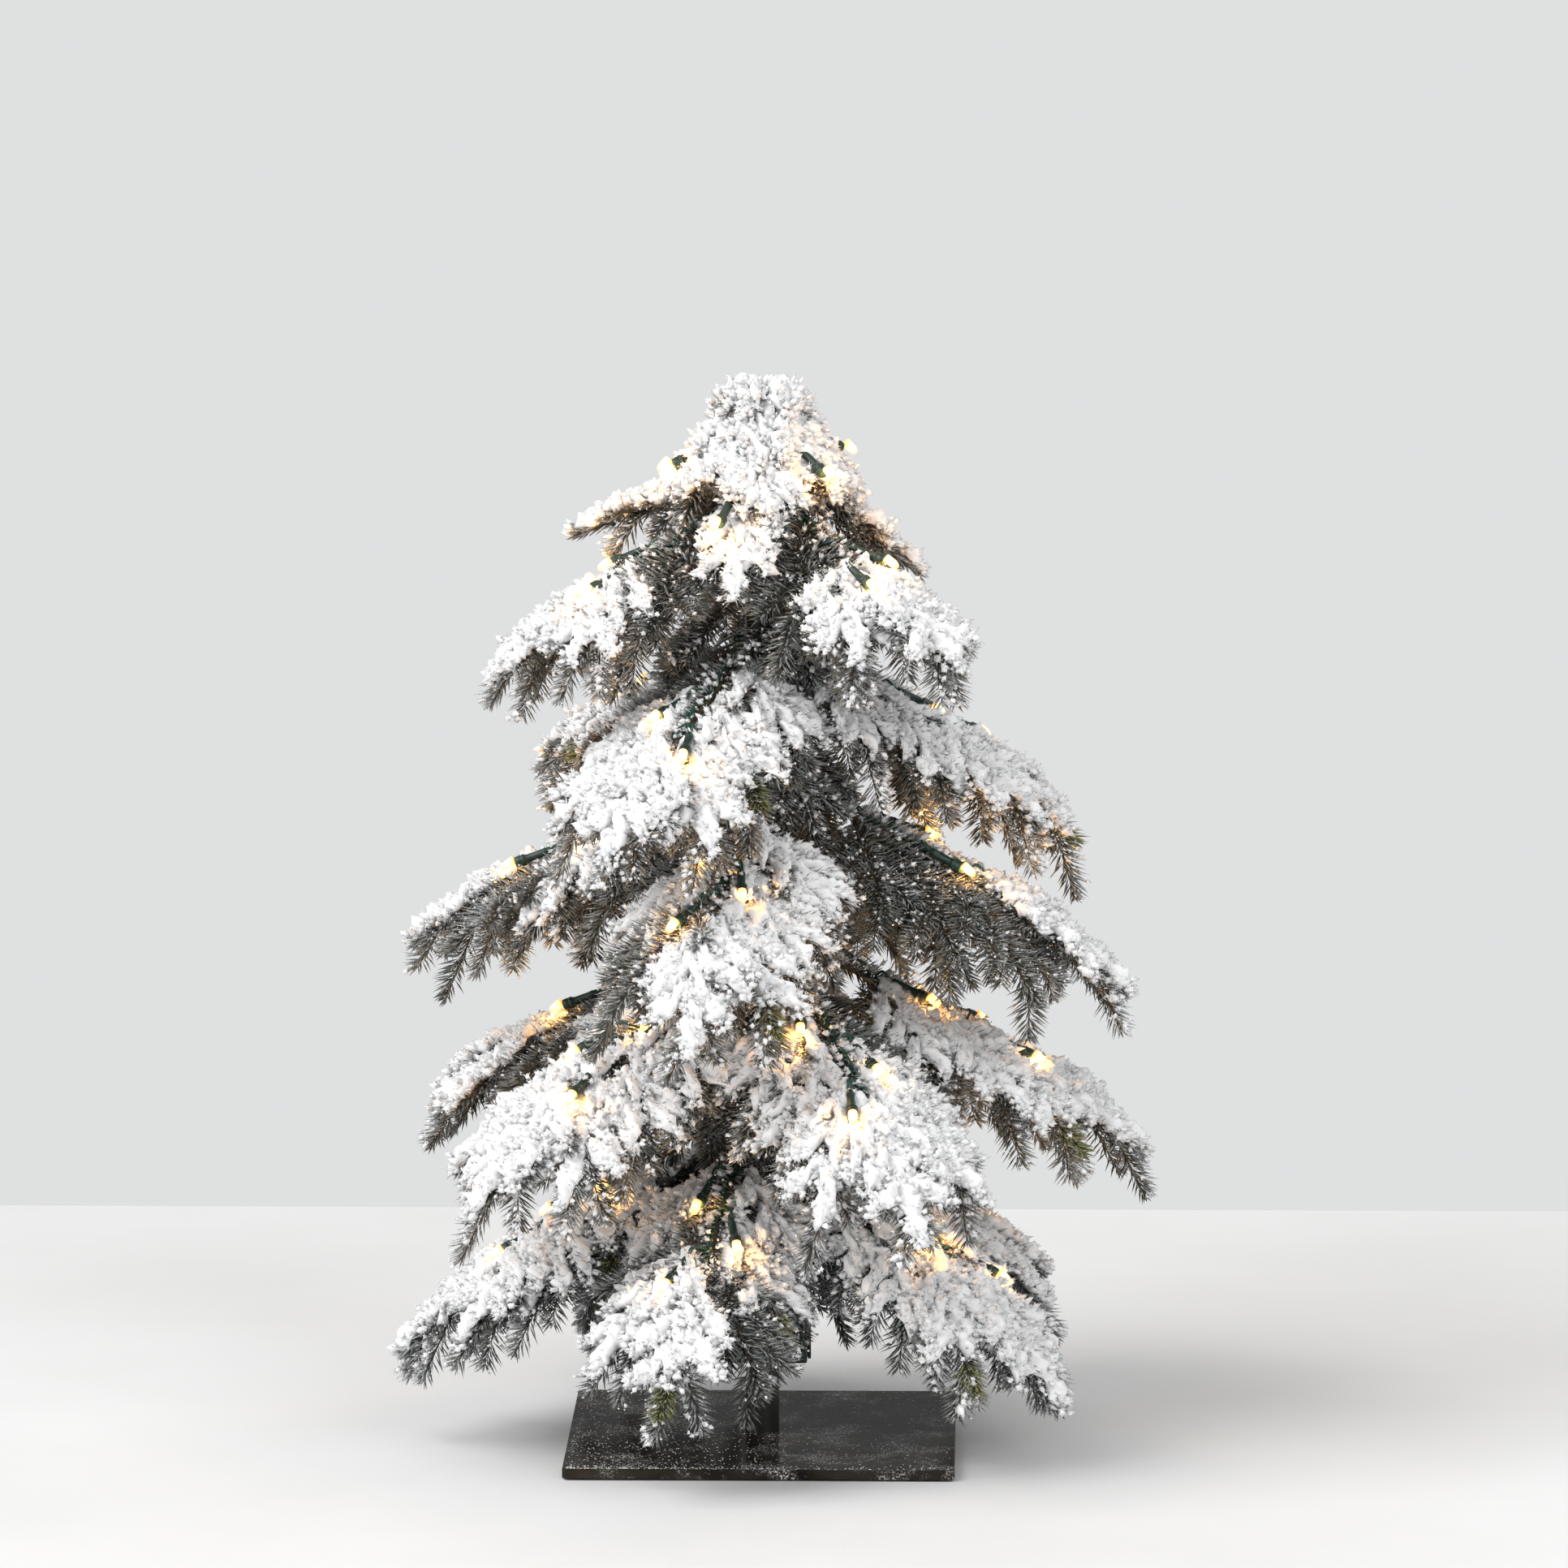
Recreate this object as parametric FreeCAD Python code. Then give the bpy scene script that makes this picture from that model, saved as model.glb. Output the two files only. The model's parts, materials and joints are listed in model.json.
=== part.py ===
"""Flocked tabletop tree with a light string, on a steel pole and a square steel plate.

Millimetres. The origin is under the middle of the base pad, where the tree stands on the table.
+Z is up, +X is to the tree's right as it faces the viewer, and -Y points to the viewer.
"""

import FreeCAD, Part
import math
import os
from collections import namedtuple

V = FreeCAD.Vector
UP = V(0, 0, 1)

# Base and pole
PAD_SIDE = 208.0
PAD_THICK = 1.0
PLATE_SIDE = 220.0
PLATE_THICK = 5.5
PLATE_CORNER = 3.0
PLATE_EDGE = 0.6
PLATE_TOP = PAD_THICK + PLATE_THICK
POLE_R = 9.5
POLE_WALL = 1.2
POLE_TOP = 584.0
PLUG_LENGTH = 18.0
PLUG_HEAD = 3.5
CROWN_R = 9.0
TREE_TOP = 612.0
SCREW_R = 3.0
SCREW_HEAD_R = 6.2
SCREW_TOP = 24.0
FIT = 0.05

# Branch wires. Each branch has a leg that is bound to the pole and a stem that bends at the knuckle
LEG_R = 1.4
LEG_LENGTH = 26.0
KNUCKLE_R = 2.2
KNUCKLE_LENGTH = 4.4
KNUCKLE_GAP = 0.4
LEG_OUT = POLE_R + FIT + LEG_R
HINGE_OUT = POLE_R + KNUCKLE_GAP + KNUCKLE_R
STEM_R = 1.9
SHOULDER_RISE = 8.0
SHOULDER_LENGTH = 14.0
BAND_HEIGHT = 12.0
BAND_WALL = 1.1

# Sprigs: needled tips, each a spindle that is narrow where it is wired on
SPRIG_R = 9.8
SPRIG_NECK_R = 1.5
SPRIG_WIDEN = 28.0
PAIR_STEP = 32.5
PAIR_SETBACK = 24.0
FORK_FIRST = 29.0
PAIR_SHRINK = 0.08
HANG_DIP = 38.0
HANG_STATION = 0.5
HANG_R = 9.0
PAIR_DIP = 12.0
PAIR_DIP_MORE = 3.0

# Light string
WIRE_R = 0.75
BUNDLE_R = 1.25
LOOP_SIDE = 2.2
LOOP_LIFT = 6.6
LOOP_START = -7.0
HOLDER_BACK_R = 2.1
HOLDER_NECK_R = 2.45
HOLDER_COLLAR_R = 3.5
HOLDER_LENGTH = 22.0
COLLAR_LENGTH = 5.5
BULB_R = 2.5
BULB_LENGTH = 9.0
LAMP_LIFT = 14.6
STRING_AZIMUTH = 97.0
STRING_OUT = 15.4
STRING_TOP = 500.0
RING_LIFT = 9.5
RING_CLEAR = 8.5
TUFT_LAMP_OUT = 32.0
TUFT_LAMP_SPREAD = 0.55
TUFT_LAMP_DROOP = 30.0
TUFT_TAIL = 6.0

# Battery box behind the pole
CASE_WIDTH = 50.0
CASE_HEIGHT = 74.0
CASE_DEPTH = 20.0
CASE_WALL = 1.6
CASE_LOW = 42.0
CASE_TOP = CASE_LOW + CASE_HEIGHT
CASE_BACK = 15.0
COVER_THICK = 1.8
COVER_GAP = 0.35
COVER_SKIRT = 1.65
CELL_R = 7.1
CELL_LENGTH = 50.0
CELL_PITCH = 14.9
CELL_Y = CASE_BACK + CASE_WALL + CELL_R + 0.2
CELL_LOW = 47.5
SHELF_Z = 98.6
SHELF_THICK = 1.2
BOARD_Y = CASE_BACK + 2.4
BOARD_Z = 100.6
BOARD_TALL = 11.5
GROOVE_Y = 28.0
GROOVE_TALL = 2.0
GROOVE_DEPTH = 1.0
GLAND_Y = 22.0
SADDLE_HEIGHTS = (57.0, 101.0)
SADDLE_NEAR = 4.0
TIE_OUT = POLE_R + 1.3
TIE_HEIGHT = 4.0
TIE_PLAY = 0.3
SWITCH_X = 16.0
SWITCH_Y = 25.0
SWITCH_KNOB = 4.4
SWITCH_TRAVEL = 6.0
COVER_TRAVEL = 28.0
HOOK_TALL = 24.0

# Tiers of branches from the top: height of the root, number of branches, azimuth of the first, droop in
# degrees, stem and sprig lengths, number of sprig pairs and how much wider each pair forks, length of the
# sprig that hangs under the stem, lamps
Tier = namedtuple("Tier", "root count azimuth droop stem sprig pairs widen hang lamps")
TIERS = (
    Tier(root=526, count=3, azimuth=78, droop=27, stem=66, sprig=84, pairs=2, widen=10, hang=52, lamps=2),
    Tier(root=452, count=3, azimuth=5, droop=27, stem=96, sprig=92, pairs=3, widen=10, hang=64, lamps=2),
    Tier(root=374, count=4, azimuth=77, droop=28, stem=112, sprig=96, pairs=3, widen=9, hang=66, lamps=3),
    Tier(root=284, count=5, azimuth=5, droop=30, stem=130, sprig=98, pairs=3, widen=7, hang=66, lamps=3),
    Tier(root=184, count=5, azimuth=41, droop=35, stem=122, sprig=96, pairs=3, widen=5, hang=58, lamps=3),
)
Branch = namedtuple("Branch", "name tier azimuth knuckle elbow along side lift stem sprigs lamps")
Sprig = namedtuple("Sprig", "start heading length radius")
Lamp = namedtuple("Lamp", "start heading tail")


# Layout: where each branch, sprig and lamp goes
def outward(azimuth):
    a = math.radians(azimuth)
    return V(math.cos(a), math.sin(a), 0)


def sway(number, amount):
    """An uneven but fixed amount, so that no two branches hang quite alike."""
    return amount * math.sin(2.4 * number + 0.7)


def mix(forward, sideways, turn):
    a = math.radians(turn)
    return forward * math.cos(a) + sideways * math.sin(a)


def plan_branch(tier_number, letter_number, serial):
    tier = TIERS[tier_number]
    azimuth = tier.azimuth + 360.0 * letter_number / tier.count + sway(serial + 5, 3.0)
    out = outward(azimuth)
    side = UP.cross(out)
    droop = tier.droop + sway(serial, 3.0)
    knuckle = out * HINGE_OUT + UP * tier.root
    elbow = knuckle + mix(out, UP, SHOULDER_RISE) * SHOULDER_LENGTH
    along = mix(out, UP, -droop)
    lift = along.cross(side)
    stem = tier.stem + sway(serial + 2, 5.0)

    def point(station, across, height):
        return elbow + along * station + side * across + lift * height

    def heading(fork, dip):
        return mix(mix(along, side, fork), lift, -dip)

    end = heading(0, 7 + sway(serial, 3))
    sprigs = [Sprig(point(stem, 0, 0) + end * 0.5, end, tier.sprig, SPRIG_R)]
    for pair in range(tier.pairs):
        for hand in (1, -1):
            turn = serial + 3 * pair + 2 * hand
            fork = hand * (FORK_FIRST + tier.widen * pair + sway(turn, 2.0))
            station = stem - PAIR_SETBACK - PAIR_STEP * pair + hand * sway(serial, 4.0)
            way = heading(fork, PAIR_DIP + PAIR_DIP_MORE * pair + sway(turn + 1, 4.0))
            clear = (STEM_R + SPRIG_NECK_R + FIT) / math.sin(math.radians(abs(fork)))
            length = tier.sprig * (1 - PAIR_SHRINK * (pair + 0.3)) + sway(turn + 2, 4.0)
            sprigs.append(Sprig(point(station, 0, 0) + way * clear, way, length, SPRIG_R))
    way = heading(sway(serial, 7.0), HANG_DIP)
    clear = (STEM_R + SPRIG_NECK_R + FIT) / math.sin(math.radians(HANG_DIP))
    sprigs.append(Sprig(point(stem * HANG_STATION, 0, 0) + way * clear, way, tier.hang, HANG_R))
    lamps = []
    for number in range(tier.lamps):
        hand = 1 if (number + serial) % 2 else -1
        station = stem - 6 - (stem - 22) * number / tier.lamps
        start = point(station, hand * 9, LAMP_LIFT)
        tail = point(station - 7, hand * LOOP_SIDE, LOOP_LIFT + WIRE_R)
        lamps.append(Lamp(start, heading(hand * (16 + sway(serial + number, 8)), -3), tail))
    name = f"{tier_number + 1}{'abcde'[letter_number]}"
    return Branch(name, tier, azimuth, knuckle, elbow, along, side, lift, stem, sprigs, lamps)


def plan_branches():
    branches = []
    for tier_number, tier in enumerate(TIERS):
        for letter_number in range(tier.count):
            branches.append(plan_branch(tier_number, letter_number, len(branches)))
    return branches


def ring_of_sprigs(height, radius, count, first, droop, length, thickness):
    """Sprigs that leave the pole at one height and droop, evenly spaced round it."""
    sprigs = []
    for number in range(count):
        out = outward(first + 360.0 * number / count)
        way = mix(out, UP, -droop - sway(number + count, 3.0))
        sprigs.append(Sprig(out * radius + UP * height, way, length + sway(number, 4.0), thickness))
    return sprigs


# Rings of sprigs: height, distance from the axis, count, first azimuth, droop, length, thickness
TUFT_RINGS = (
    (591, 12, 5, 24, 57, 44, 7.6),
    (575, 13, 5, 60, 40, 54, 8.4),
    (550, 13, 1, 18, 32, 92, 9.0),
    (552, 13, 1, 172, 17, 96, 9.0),
    (550, 13, 1, 258, 37, 86, 9.0),
    (550, 13, 1, 128, 37, 80, 9.0),
)
TUFT_LAMPS = ((574, 24), (568, 198), (566, 312), (540, 250), (538, 42))  # height, azimuth
FILLER_RINGS = (
    (492, 12.5, 3, 65, 50, 66, 8.2),
    (413, 12.5, 4, 35, 54, 62, 8.2),
    (334, 12.5, 5, 41, 54, 62, 8.2),
    (234, 12.5, 5, 5, 55, 60, 8.2),
    (152, 12.5, 1, 185, 60, 70, 8.2),
    (152, 12.5, 1, 255, 62, 74, 8.2),
    (152, 12.5, 1, 332, 60, 70, 8.2),
    (134, 12.5, 1, 220, 62, 62, 8.2),
    (134, 12.5, 1, 294, 62, 62, 8.2),
)


def plan_tuft():
    foot = POLE_TOP + PLUG_HEAD + FIT
    crown = Sprig(UP * foot, UP, TREE_TOP - foot, CROWN_R)
    return [crown] + [s for ring in TUFT_RINGS for s in ring_of_sprigs(*ring)]


def plan_fillers():
    return [s for ring in FILLER_RINGS for s in ring_of_sprigs(*ring)]


def plan_tuft_lamps():
    lamps = []
    for height, azimuth in TUFT_LAMPS:
        out = outward(azimuth)
        reach = TUFT_LAMP_OUT + (POLE_TOP - height) * TUFT_LAMP_SPREAD
        way = mix(out, UP, -TUFT_LAMP_DROOP)
        start = out * reach + UP * height
        lamps.append(Lamp(start, way, start - way * TUFT_TAIL))
    return lamps


# Solids
def turned(profile, start, heading):
    """A solid of revolution. The profile's points are (distance along the heading, radius)."""
    outline = [V(radius, 0, distance) for distance, radius in profile]
    corners = [V(0, 0, profile[0][0])] + outline + [V(0, 0, profile[-1][0])]
    face = Part.Face(Part.makePolygon(corners + [corners[0]]))
    solid = face.revolve(V(), UP, 360)
    solid.Placement = FreeCAD.Placement(start, FreeCAD.Rotation(UP, heading))
    return solid


def rod(start, end, radius):
    return Part.makeCylinder(radius, (end - start).Length, start, end - start)


def block(low, high):
    return Part.makeBox(high.x - low.x, high.y - low.y, high.z - low.z, low)


def ring(inner, outer, low, high):
    tall = high - low
    return Part.makeCylinder(outer, tall, UP * low).cut(Part.makeCylinder(inner, tall, UP * low))


def square_plate(side, low, high, corner):
    half = side / 2
    plate = block(V(-half, -half, low), V(half, half, high))
    upright = [e for e in plate.Edges if abs(e.tangentAt(e.FirstParameter).z) > 0.99]
    return plate.makeFillet(corner, upright)


def bent_tube(points, radius, bends=None):
    """A round tube along straight runs joined by tangent arcs. bends gives the arcs' radii where they
    aren't 0.45 of the shorter run over the tangent of half the turn."""
    edges = []
    cursor = points[0]
    for number in range(1, len(points) - 1):
        corner = points[number]
        back = points[number - 1] - corner
        ahead = points[number + 1] - corner
        short = min(back.Length, ahead.Length)
        back.normalize()
        ahead.normalize()
        half_turn = (math.pi - back.getAngle(ahead)) / 2
        bend = bends[number - 1] if bends else 0.45 * short / math.tan(half_turn)
        setback = bend * math.tan(half_turn)
        middle = back + ahead
        middle.normalize()
        nearest = corner + middle * (bend / math.cos(half_turn) - bend)
        enter = corner + back * setback
        leave = corner + ahead * setback
        if (enter - cursor).Length > 1e-4:
            edges.append(Part.LineSegment(cursor, enter).toShape())
        edges.append(Part.Arc(enter, nearest, leave).toShape())
        BEND_RADII.append(bend)
        cursor = leave
    edges.append(Part.LineSegment(cursor, points[-1]).toShape())
    path = Part.Wire(edges)
    start = points[1] - points[0]
    section = Part.Wire([Part.makeCircle(radius, points[0], start)])
    tube = path.makePipeShell([section], True, False)
    expected = math.pi * radius ** 2 * path.Length
    if abs(tube.Volume - expected) > 0.01 * expected:
        raise ValueError(f"a tube's volume is {tube.Volume:.1f}, not {expected:.1f}")
    return tube


BEND_RADII = []


# Base and pole
def base_pad():
    return square_plate(PAD_SIDE, 0, PAD_THICK, PLATE_CORNER)


def base_plate():
    plate = square_plate(PLATE_SIDE, PAD_THICK, PLATE_TOP, PLATE_CORNER)
    rims = [e for e in plate.Edges if e.BoundBox.ZLength < 0.01]
    plate = plate.makeFillet(PLATE_EDGE, rims)
    sink = screw_head(SCREW_HEAD_R + 0.1, SCREW_R + 0.3)
    return plate.cut(Part.makeCylinder(SCREW_R + 0.3, PLATE_TOP + 1)).cut(sink)


def screw_head(wide, narrow):
    return Part.makeCone(wide, narrow, wide - narrow, UP * PAD_THICK)


def pole_screw():
    head = screw_head(SCREW_HEAD_R, SCREW_R)
    shank = Part.makeCylinder(SCREW_R, SCREW_TOP - PAD_THICK, UP * PAD_THICK)
    corners = [outward(60 * n) * 2.3 + UP * PAD_THICK for n in range(7)]
    socket = Part.Face(Part.makePolygon(corners)).extrude(UP * 2.4)
    return head.fuse(shank).removeSplitter().cut(socket)


def pole_foot_plug():
    plug = Part.makeCylinder(POLE_R - POLE_WALL - FIT, SCREW_TOP - PLATE_TOP + 4, UP * PLATE_TOP)
    return plug.cut(Part.makeCylinder(SCREW_R + FIT, SCREW_TOP - PLATE_TOP + 1, UP * PLATE_TOP))


def trunk_pole():
    return ring(POLE_R - POLE_WALL, POLE_R, PLATE_TOP, POLE_TOP)


def pole_top_plug():
    plug = Part.makeCylinder(POLE_R - POLE_WALL - FIT, PLUG_LENGTH, UP * (POLE_TOP - PLUG_LENGTH))
    head = Part.makeCylinder(POLE_R, PLUG_HEAD, UP * POLE_TOP)
    head = head.makeFillet(1.5, [e for e in head.Edges if e.BoundBox.ZMin > POLE_TOP + 1 and e.Closed])
    return plug.fuse(head).removeSplitter()


# Branches
def leg_top(tier):
    return tier.root - KNUCKLE_R - KNUCKLE_GAP


def branch_legs(branches):
    """The end of each branch's wire that is bound along the pole, up to the bend."""
    legs = []
    for branch in branches:
        foot = outward(branch.azimuth) * LEG_OUT + UP * (leg_top(branch.tier) - LEG_LENGTH)
        legs.append(rod(foot, foot + UP * LEG_LENGTH, LEG_R))
    return legs


def binding_bands():
    inner = LEG_OUT + LEG_R + FIT
    bands = []
    for tier in TIERS:
        middle = leg_top(tier) - LEG_LENGTH / 2
        bands.append(ring(inner, inner + BAND_WALL, middle - BAND_HEIGHT / 2, middle + BAND_HEIGHT / 2))
    return bands


def sprig_solid(sprig):
    wide = min(SPRIG_WIDEN, 0.4 * sprig.length)
    radius = sprig.radius
    length = sprig.length
    profile = [(0, SPRIG_NECK_R), (wide, radius), (0.66 * length, radius), (0.93 * length, 0.5 * radius)]
    return turned(profile + [(length, 1.2)], sprig.start, sprig.heading)


def stem_solid(branch):
    end = branch.elbow + branch.along * branch.stem
    stem = bent_tube([branch.knuckle, branch.elbow, end], STEM_R)
    half = branch.side * (KNUCKLE_LENGTH / 2)
    return stem.fuse(rod(branch.knuckle - half, branch.knuckle + half, KNUCKLE_R)).removeSplitter()


def pole_twigs(sprigs):
    """The short wires that hold a ring's sprigs to the pole."""
    twigs = []
    for sprig in sprigs:
        level = V(sprig.heading.x, sprig.heading.y, 0).Length
        from_pole = V(sprig.start.x, sprig.start.y, 0).Length - POLE_R - 1.5
        foot = sprig.start - sprig.heading * (from_pole / level)
        twigs.append(rod(foot, sprig.start - sprig.heading * FIT, 1.0))
    return twigs


def branch_solids(branch):
    return [stem_solid(branch)] + [sprig_solid(sprig) for sprig in branch.sprigs]


def tuft_solids():
    crown, *others = plan_tuft()
    return [sprig_solid(crown)] + [sprig_solid(s) for s in others] + pole_twigs(others)


def filler_solids():
    sprigs = plan_fillers()
    return [sprig_solid(s) for s in sprigs] + pole_twigs(sprigs)


# Light string
def holder_solid(lamp):
    neck = HOLDER_LENGTH - COLLAR_LENGTH
    profile = [(0, HOLDER_BACK_R), (neck - 2, HOLDER_NECK_R), (neck, HOLDER_COLLAR_R)]
    return turned(profile + [(HOLDER_LENGTH, HOLDER_COLLAR_R - 0.4)], lamp.start, lamp.heading)


def bulb_solid(lamp):
    foot = lamp.start + lamp.heading * (HOLDER_LENGTH + FIT)
    straight = BULB_LENGTH - BULB_R
    body = rod(foot, foot + lamp.heading * straight, BULB_R)
    return body.fuse(Part.makeSphere(BULB_R, foot + lamp.heading * straight)).removeSplitter()


def tail_solid(lamp):
    gap = lamp.start - lamp.tail
    step = gap * (2 * FIT / gap.Length)
    return rod(lamp.tail + step, lamp.start - step, WIRE_R)


def lamp_solids(lamps):
    solids = []
    for lamp in lamps:
        solids += [holder_solid(lamp), bulb_solid(lamp), tail_solid(lamp)]
    return solids


def branch_lights(branch):
    """One loop of the string, out along the stem and back, with its lamps."""
    def strand(station, hand):
        across = branch.side * (hand * LOOP_SIDE)
        return branch.elbow + branch.along * station + across + branch.lift * LOOP_LIFT

    far = branch.stem - 6
    points = [strand(LOOP_START, 1), strand(far, 1), strand(far, -1), strand(LOOP_START, -1)]
    turn = 0.95 * LOOP_SIDE
    loop = bent_tube(points, WIRE_R, [turn, turn])
    return [loop] + lamp_solids(branch.lamps)


def trunk_string():
    """The bundle from the battery box up the pole, and the turn that it takes round each tier."""
    foot = outward(STRING_AZIMUTH) * STRING_OUT
    inside = V(foot.x, GLAND_Y, CASE_TOP - 5)
    above = V(foot.x, GLAND_Y, CASE_TOP + 11)
    beside = foot + UP * (CASE_TOP + 25)
    solids = [bent_tube([inside, above, beside, foot + UP * STRING_TOP], BUNDLE_R)]
    for tier in TIERS:
        middle = UP * (tier.root + RING_LIFT)
        turn = Part.makeTorus(STRING_OUT, WIRE_R, middle, UP, 0, 360, 360 - 2 * RING_CLEAR)
        turn.rotate(V(), UP, STRING_AZIMUTH + RING_CLEAR)
        solids.append(turn)
    return solids


# Battery box
def case_front():
    return CASE_BACK + CASE_DEPTH - COVER_THICK - COVER_GAP


def mirrored(low_x, high_x, low, high):
    """The same block on the box's two sides. low and high hold its (y, z) corners."""
    right = block(V(low_x, low[0], low[1]), V(high_x, high[0], high[1]))
    left = block(V(-high_x, low[0], low[1]), V(-low_x, high[0], high[1]))
    return right, left


def case_shell():
    half = CASE_WIDTH / 2
    inner = half - CASE_WALL
    shell = block(V(-half, CASE_BACK, CASE_LOW), V(half, case_front(), CASE_TOP))
    upright = [e for e in shell.Edges if e.BoundBox.ZLength > 1 and e.BoundBox.YMax < CASE_BACK + 1]
    low = V(-inner, CASE_BACK + CASE_WALL, CASE_LOW + CASE_WALL)
    hollow = block(low, V(inner, case_front() + 1, CASE_TOP - CASE_WALL))
    return shell.makeFillet(2.0, upright).cut(hollow)


def case_saddle(height):
    """A block on the box's back that is hollowed to the pole, with a slot for its tie."""
    saddle = block(V(-8, SADDLE_NEAR, height - 5), V(8, CASE_BACK + 0.5, height + 5))
    saddle = saddle.cut(Part.makeCylinder(POLE_R + FIT, 20, UP * (height - 10)))
    half = TIE_HEIGHT / 2 + TIE_PLAY
    return saddle.cut(ring(POLE_R - 1, TIE_OUT + TIE_PLAY, height - half, height + half))


def battery_case():
    """An open box that hangs on the pole, with a shelf over the cells and grooves for the cover's hooks."""
    half = CASE_WIDTH / 2
    inner = half - CASE_WALL
    case = case_shell()
    shelf_low = V(-inner - 0.5, CASE_BACK + 1, SHELF_Z)
    case = case.fuse(block(shelf_low, V(inner + 0.5, case_front() - 1, SHELF_Z + SHELF_THICK)))
    for pad in mirrored(14, 18, (CASE_BACK + 1, BOARD_Z + 2), (BOARD_Y, BOARD_Z + BOARD_TALL - 2)):
        case = case.fuse(pad)
    for height in SADDLE_HEIGHTS:
        case = case.fuse(case_saddle(height))
    mouth_top = CASE_TOP - COVER_TRAVEL + 1
    mouth_low = mouth_top - HOOK_TALL - 2
    groove = (GROOVE_Y, CASE_LOW - 1), (GROOVE_Y + GROOVE_TALL, CASE_TOP + 1)
    mouth = (GROOVE_Y, mouth_low), (case_front() + 1, mouth_top)
    for span in (groove, mouth):
        for cut in mirrored(half - GROOVE_DEPTH, half + 1, *span):
            case = case.cut(cut)
    slot_low = V(SWITCH_X - SWITCH_TRAVEL - SWITCH_KNOB / 2 - 0.4, SWITCH_Y - 2.1, CASE_TOP - 3)
    slot_high = V(SWITCH_X + SWITCH_KNOB / 2 + 0.4, SWITCH_Y + 2.1, CASE_TOP + 1)
    gland = V((outward(STRING_AZIMUTH) * STRING_OUT).x, GLAND_Y, CASE_TOP - 3)
    case = case.cut(block(slot_low, slot_high)).cut(Part.makeCylinder(BUNDLE_R + 0.15, 4, gland))
    return case.removeSplitter()


def battery_cover():
    """A lid with side skirts. Its hooks run in the case's grooves and leave them at the mouths."""
    half = CASE_WIDTH / 2
    outside = CASE_BACK + CASE_DEPTH
    wide = half + COVER_GAP + COVER_SKIRT
    cover = block(V(-wide, outside - COVER_THICK, CASE_LOW), V(wide, outside, CASE_TOP))
    near = GROOVE_Y + COVER_GAP
    skirt = (near, CASE_LOW), (outside - 0.5, CASE_TOP)
    hook = (near, CASE_TOP - HOOK_TALL), (GROOVE_Y + GROOVE_TALL - COVER_GAP, CASE_TOP)
    skirts = mirrored(half + COVER_GAP, wide, *skirt)
    hooks = mirrored(half - GROOVE_DEPTH + COVER_GAP, half + 1, *hook)
    for piece in skirts + hooks:
        cover = cover.fuse(piece)
    for rib in range(5):
        z = CASE_TOP - 12 - 3 * rib
        cover = cover.fuse(block(V(-9, outside - 0.5, z), V(9, outside + 0.7, z + 1.2)))
    return cover.removeSplitter()


def cell_columns():
    return [CELL_PITCH * n for n in (-1, 0, 1)]


def battery_cells():
    """Three AA cells, every other one the other way up."""
    cells = []
    for number, x in enumerate(cell_columns()):
        foot = V(x, CELL_Y, CELL_LOW)
        can = Part.makeCylinder(CELL_R, CELL_LENGTH - 1.2, foot)
        nub = Part.makeCylinder(2.7, 1.4, foot + UP * (CELL_LENGTH - 1.4))
        cell = can.fuse(nub).removeSplitter()
        if number % 2:
            cell.rotate(foot + UP * (CELL_LENGTH / 2), V(0, 1, 0), 180)
        cells.append(cell)
    return cells


def battery_contacts():
    """A leaf at one end of each cell and a spring at the other."""
    contacts = []
    for number, x in enumerate(cell_columns()):
        low = block(V(x - 6, CELL_Y - 6, CASE_LOW + CASE_WALL + FIT), V(x + 6, CELL_Y + 6, CELL_LOW - 2.6))
        high = block(V(x - 6, CELL_Y - 6, CELL_LOW + CELL_LENGTH + 0.3), V(x + 6, CELL_Y + 6, SHELF_Z - FIT))
        spring = turned([(0, 4), (2.4, 2.6)], V(x, CELL_Y, CELL_LOW - 2.6 + FIT), UP)
        contacts += [low, high, spring]
    return contacts


def timer_board():
    board = block(V(-20, BOARD_Y + FIT, BOARD_Z), V(20, BOARD_Y + 1.2, BOARD_Z + BOARD_TALL))
    chip = block(V(-12, BOARD_Y + 1.1, BOARD_Z + 3), V(-6, BOARD_Y + 2.6, BOARD_Z + 8))
    capacitor = rod(V(4, BOARD_Y + 1.1, BOARD_Z + 5), V(4, BOARD_Y + 4.1, BOARD_Z + 5), 2.2)
    return board.fuse(chip).fuse(capacitor).removeSplitter()


def switch_slider():
    """The knob in its slot, with a wider foot under the case's wall that keeps it in."""
    half = SWITCH_KNOB / 2
    knob_low = V(SWITCH_X - half, SWITCH_Y - 1.7, CASE_TOP - 3)
    knob = block(knob_low, V(SWITCH_X + half, SWITCH_Y + 1.7, CASE_TOP + 2))
    foot_top = CASE_TOP - CASE_WALL - COVER_GAP
    foot = block(V(SWITCH_X - 3.5, SWITCH_Y - 3, foot_top - 1.4), V(SWITCH_X + 3.5, SWITCH_Y + 3, foot_top))
    return knob.fuse(foot).removeSplitter()


def pole_ties():
    """Two cable ties that hold the box's saddles to the pole, each with its square head."""
    ties = []
    for height in SADDLE_HEIGHTS:
        band = ring(POLE_R + FIT, TIE_OUT, height - TIE_HEIGHT / 2, height + TIE_HEIGHT / 2)
        head = block(V(-2.8, -TIE_OUT - 3.2, height - 2.6), V(2.8, -TIE_OUT + 0.4, height + 2.6))
        ties.append(band.fuse(head).removeSplitter())
    return ties


def save(node, solids):
    if not isinstance(solids, list):
        solids = [solids]
    for solid in solids:
        if not solid.isValid() or solid.Volume <= 0 or len(solid.Solids) != 1:
            raise ValueError(f"{node} has a bad solid: {solid.Volume:.1f}, {len(solid.Solids)} solids")
    shape = solids[0] if len(solids) == 1 else Part.makeCompound([solid.Solids[0] for solid in solids])
    shape.exportStep(f"parts/{node}.step")


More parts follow.
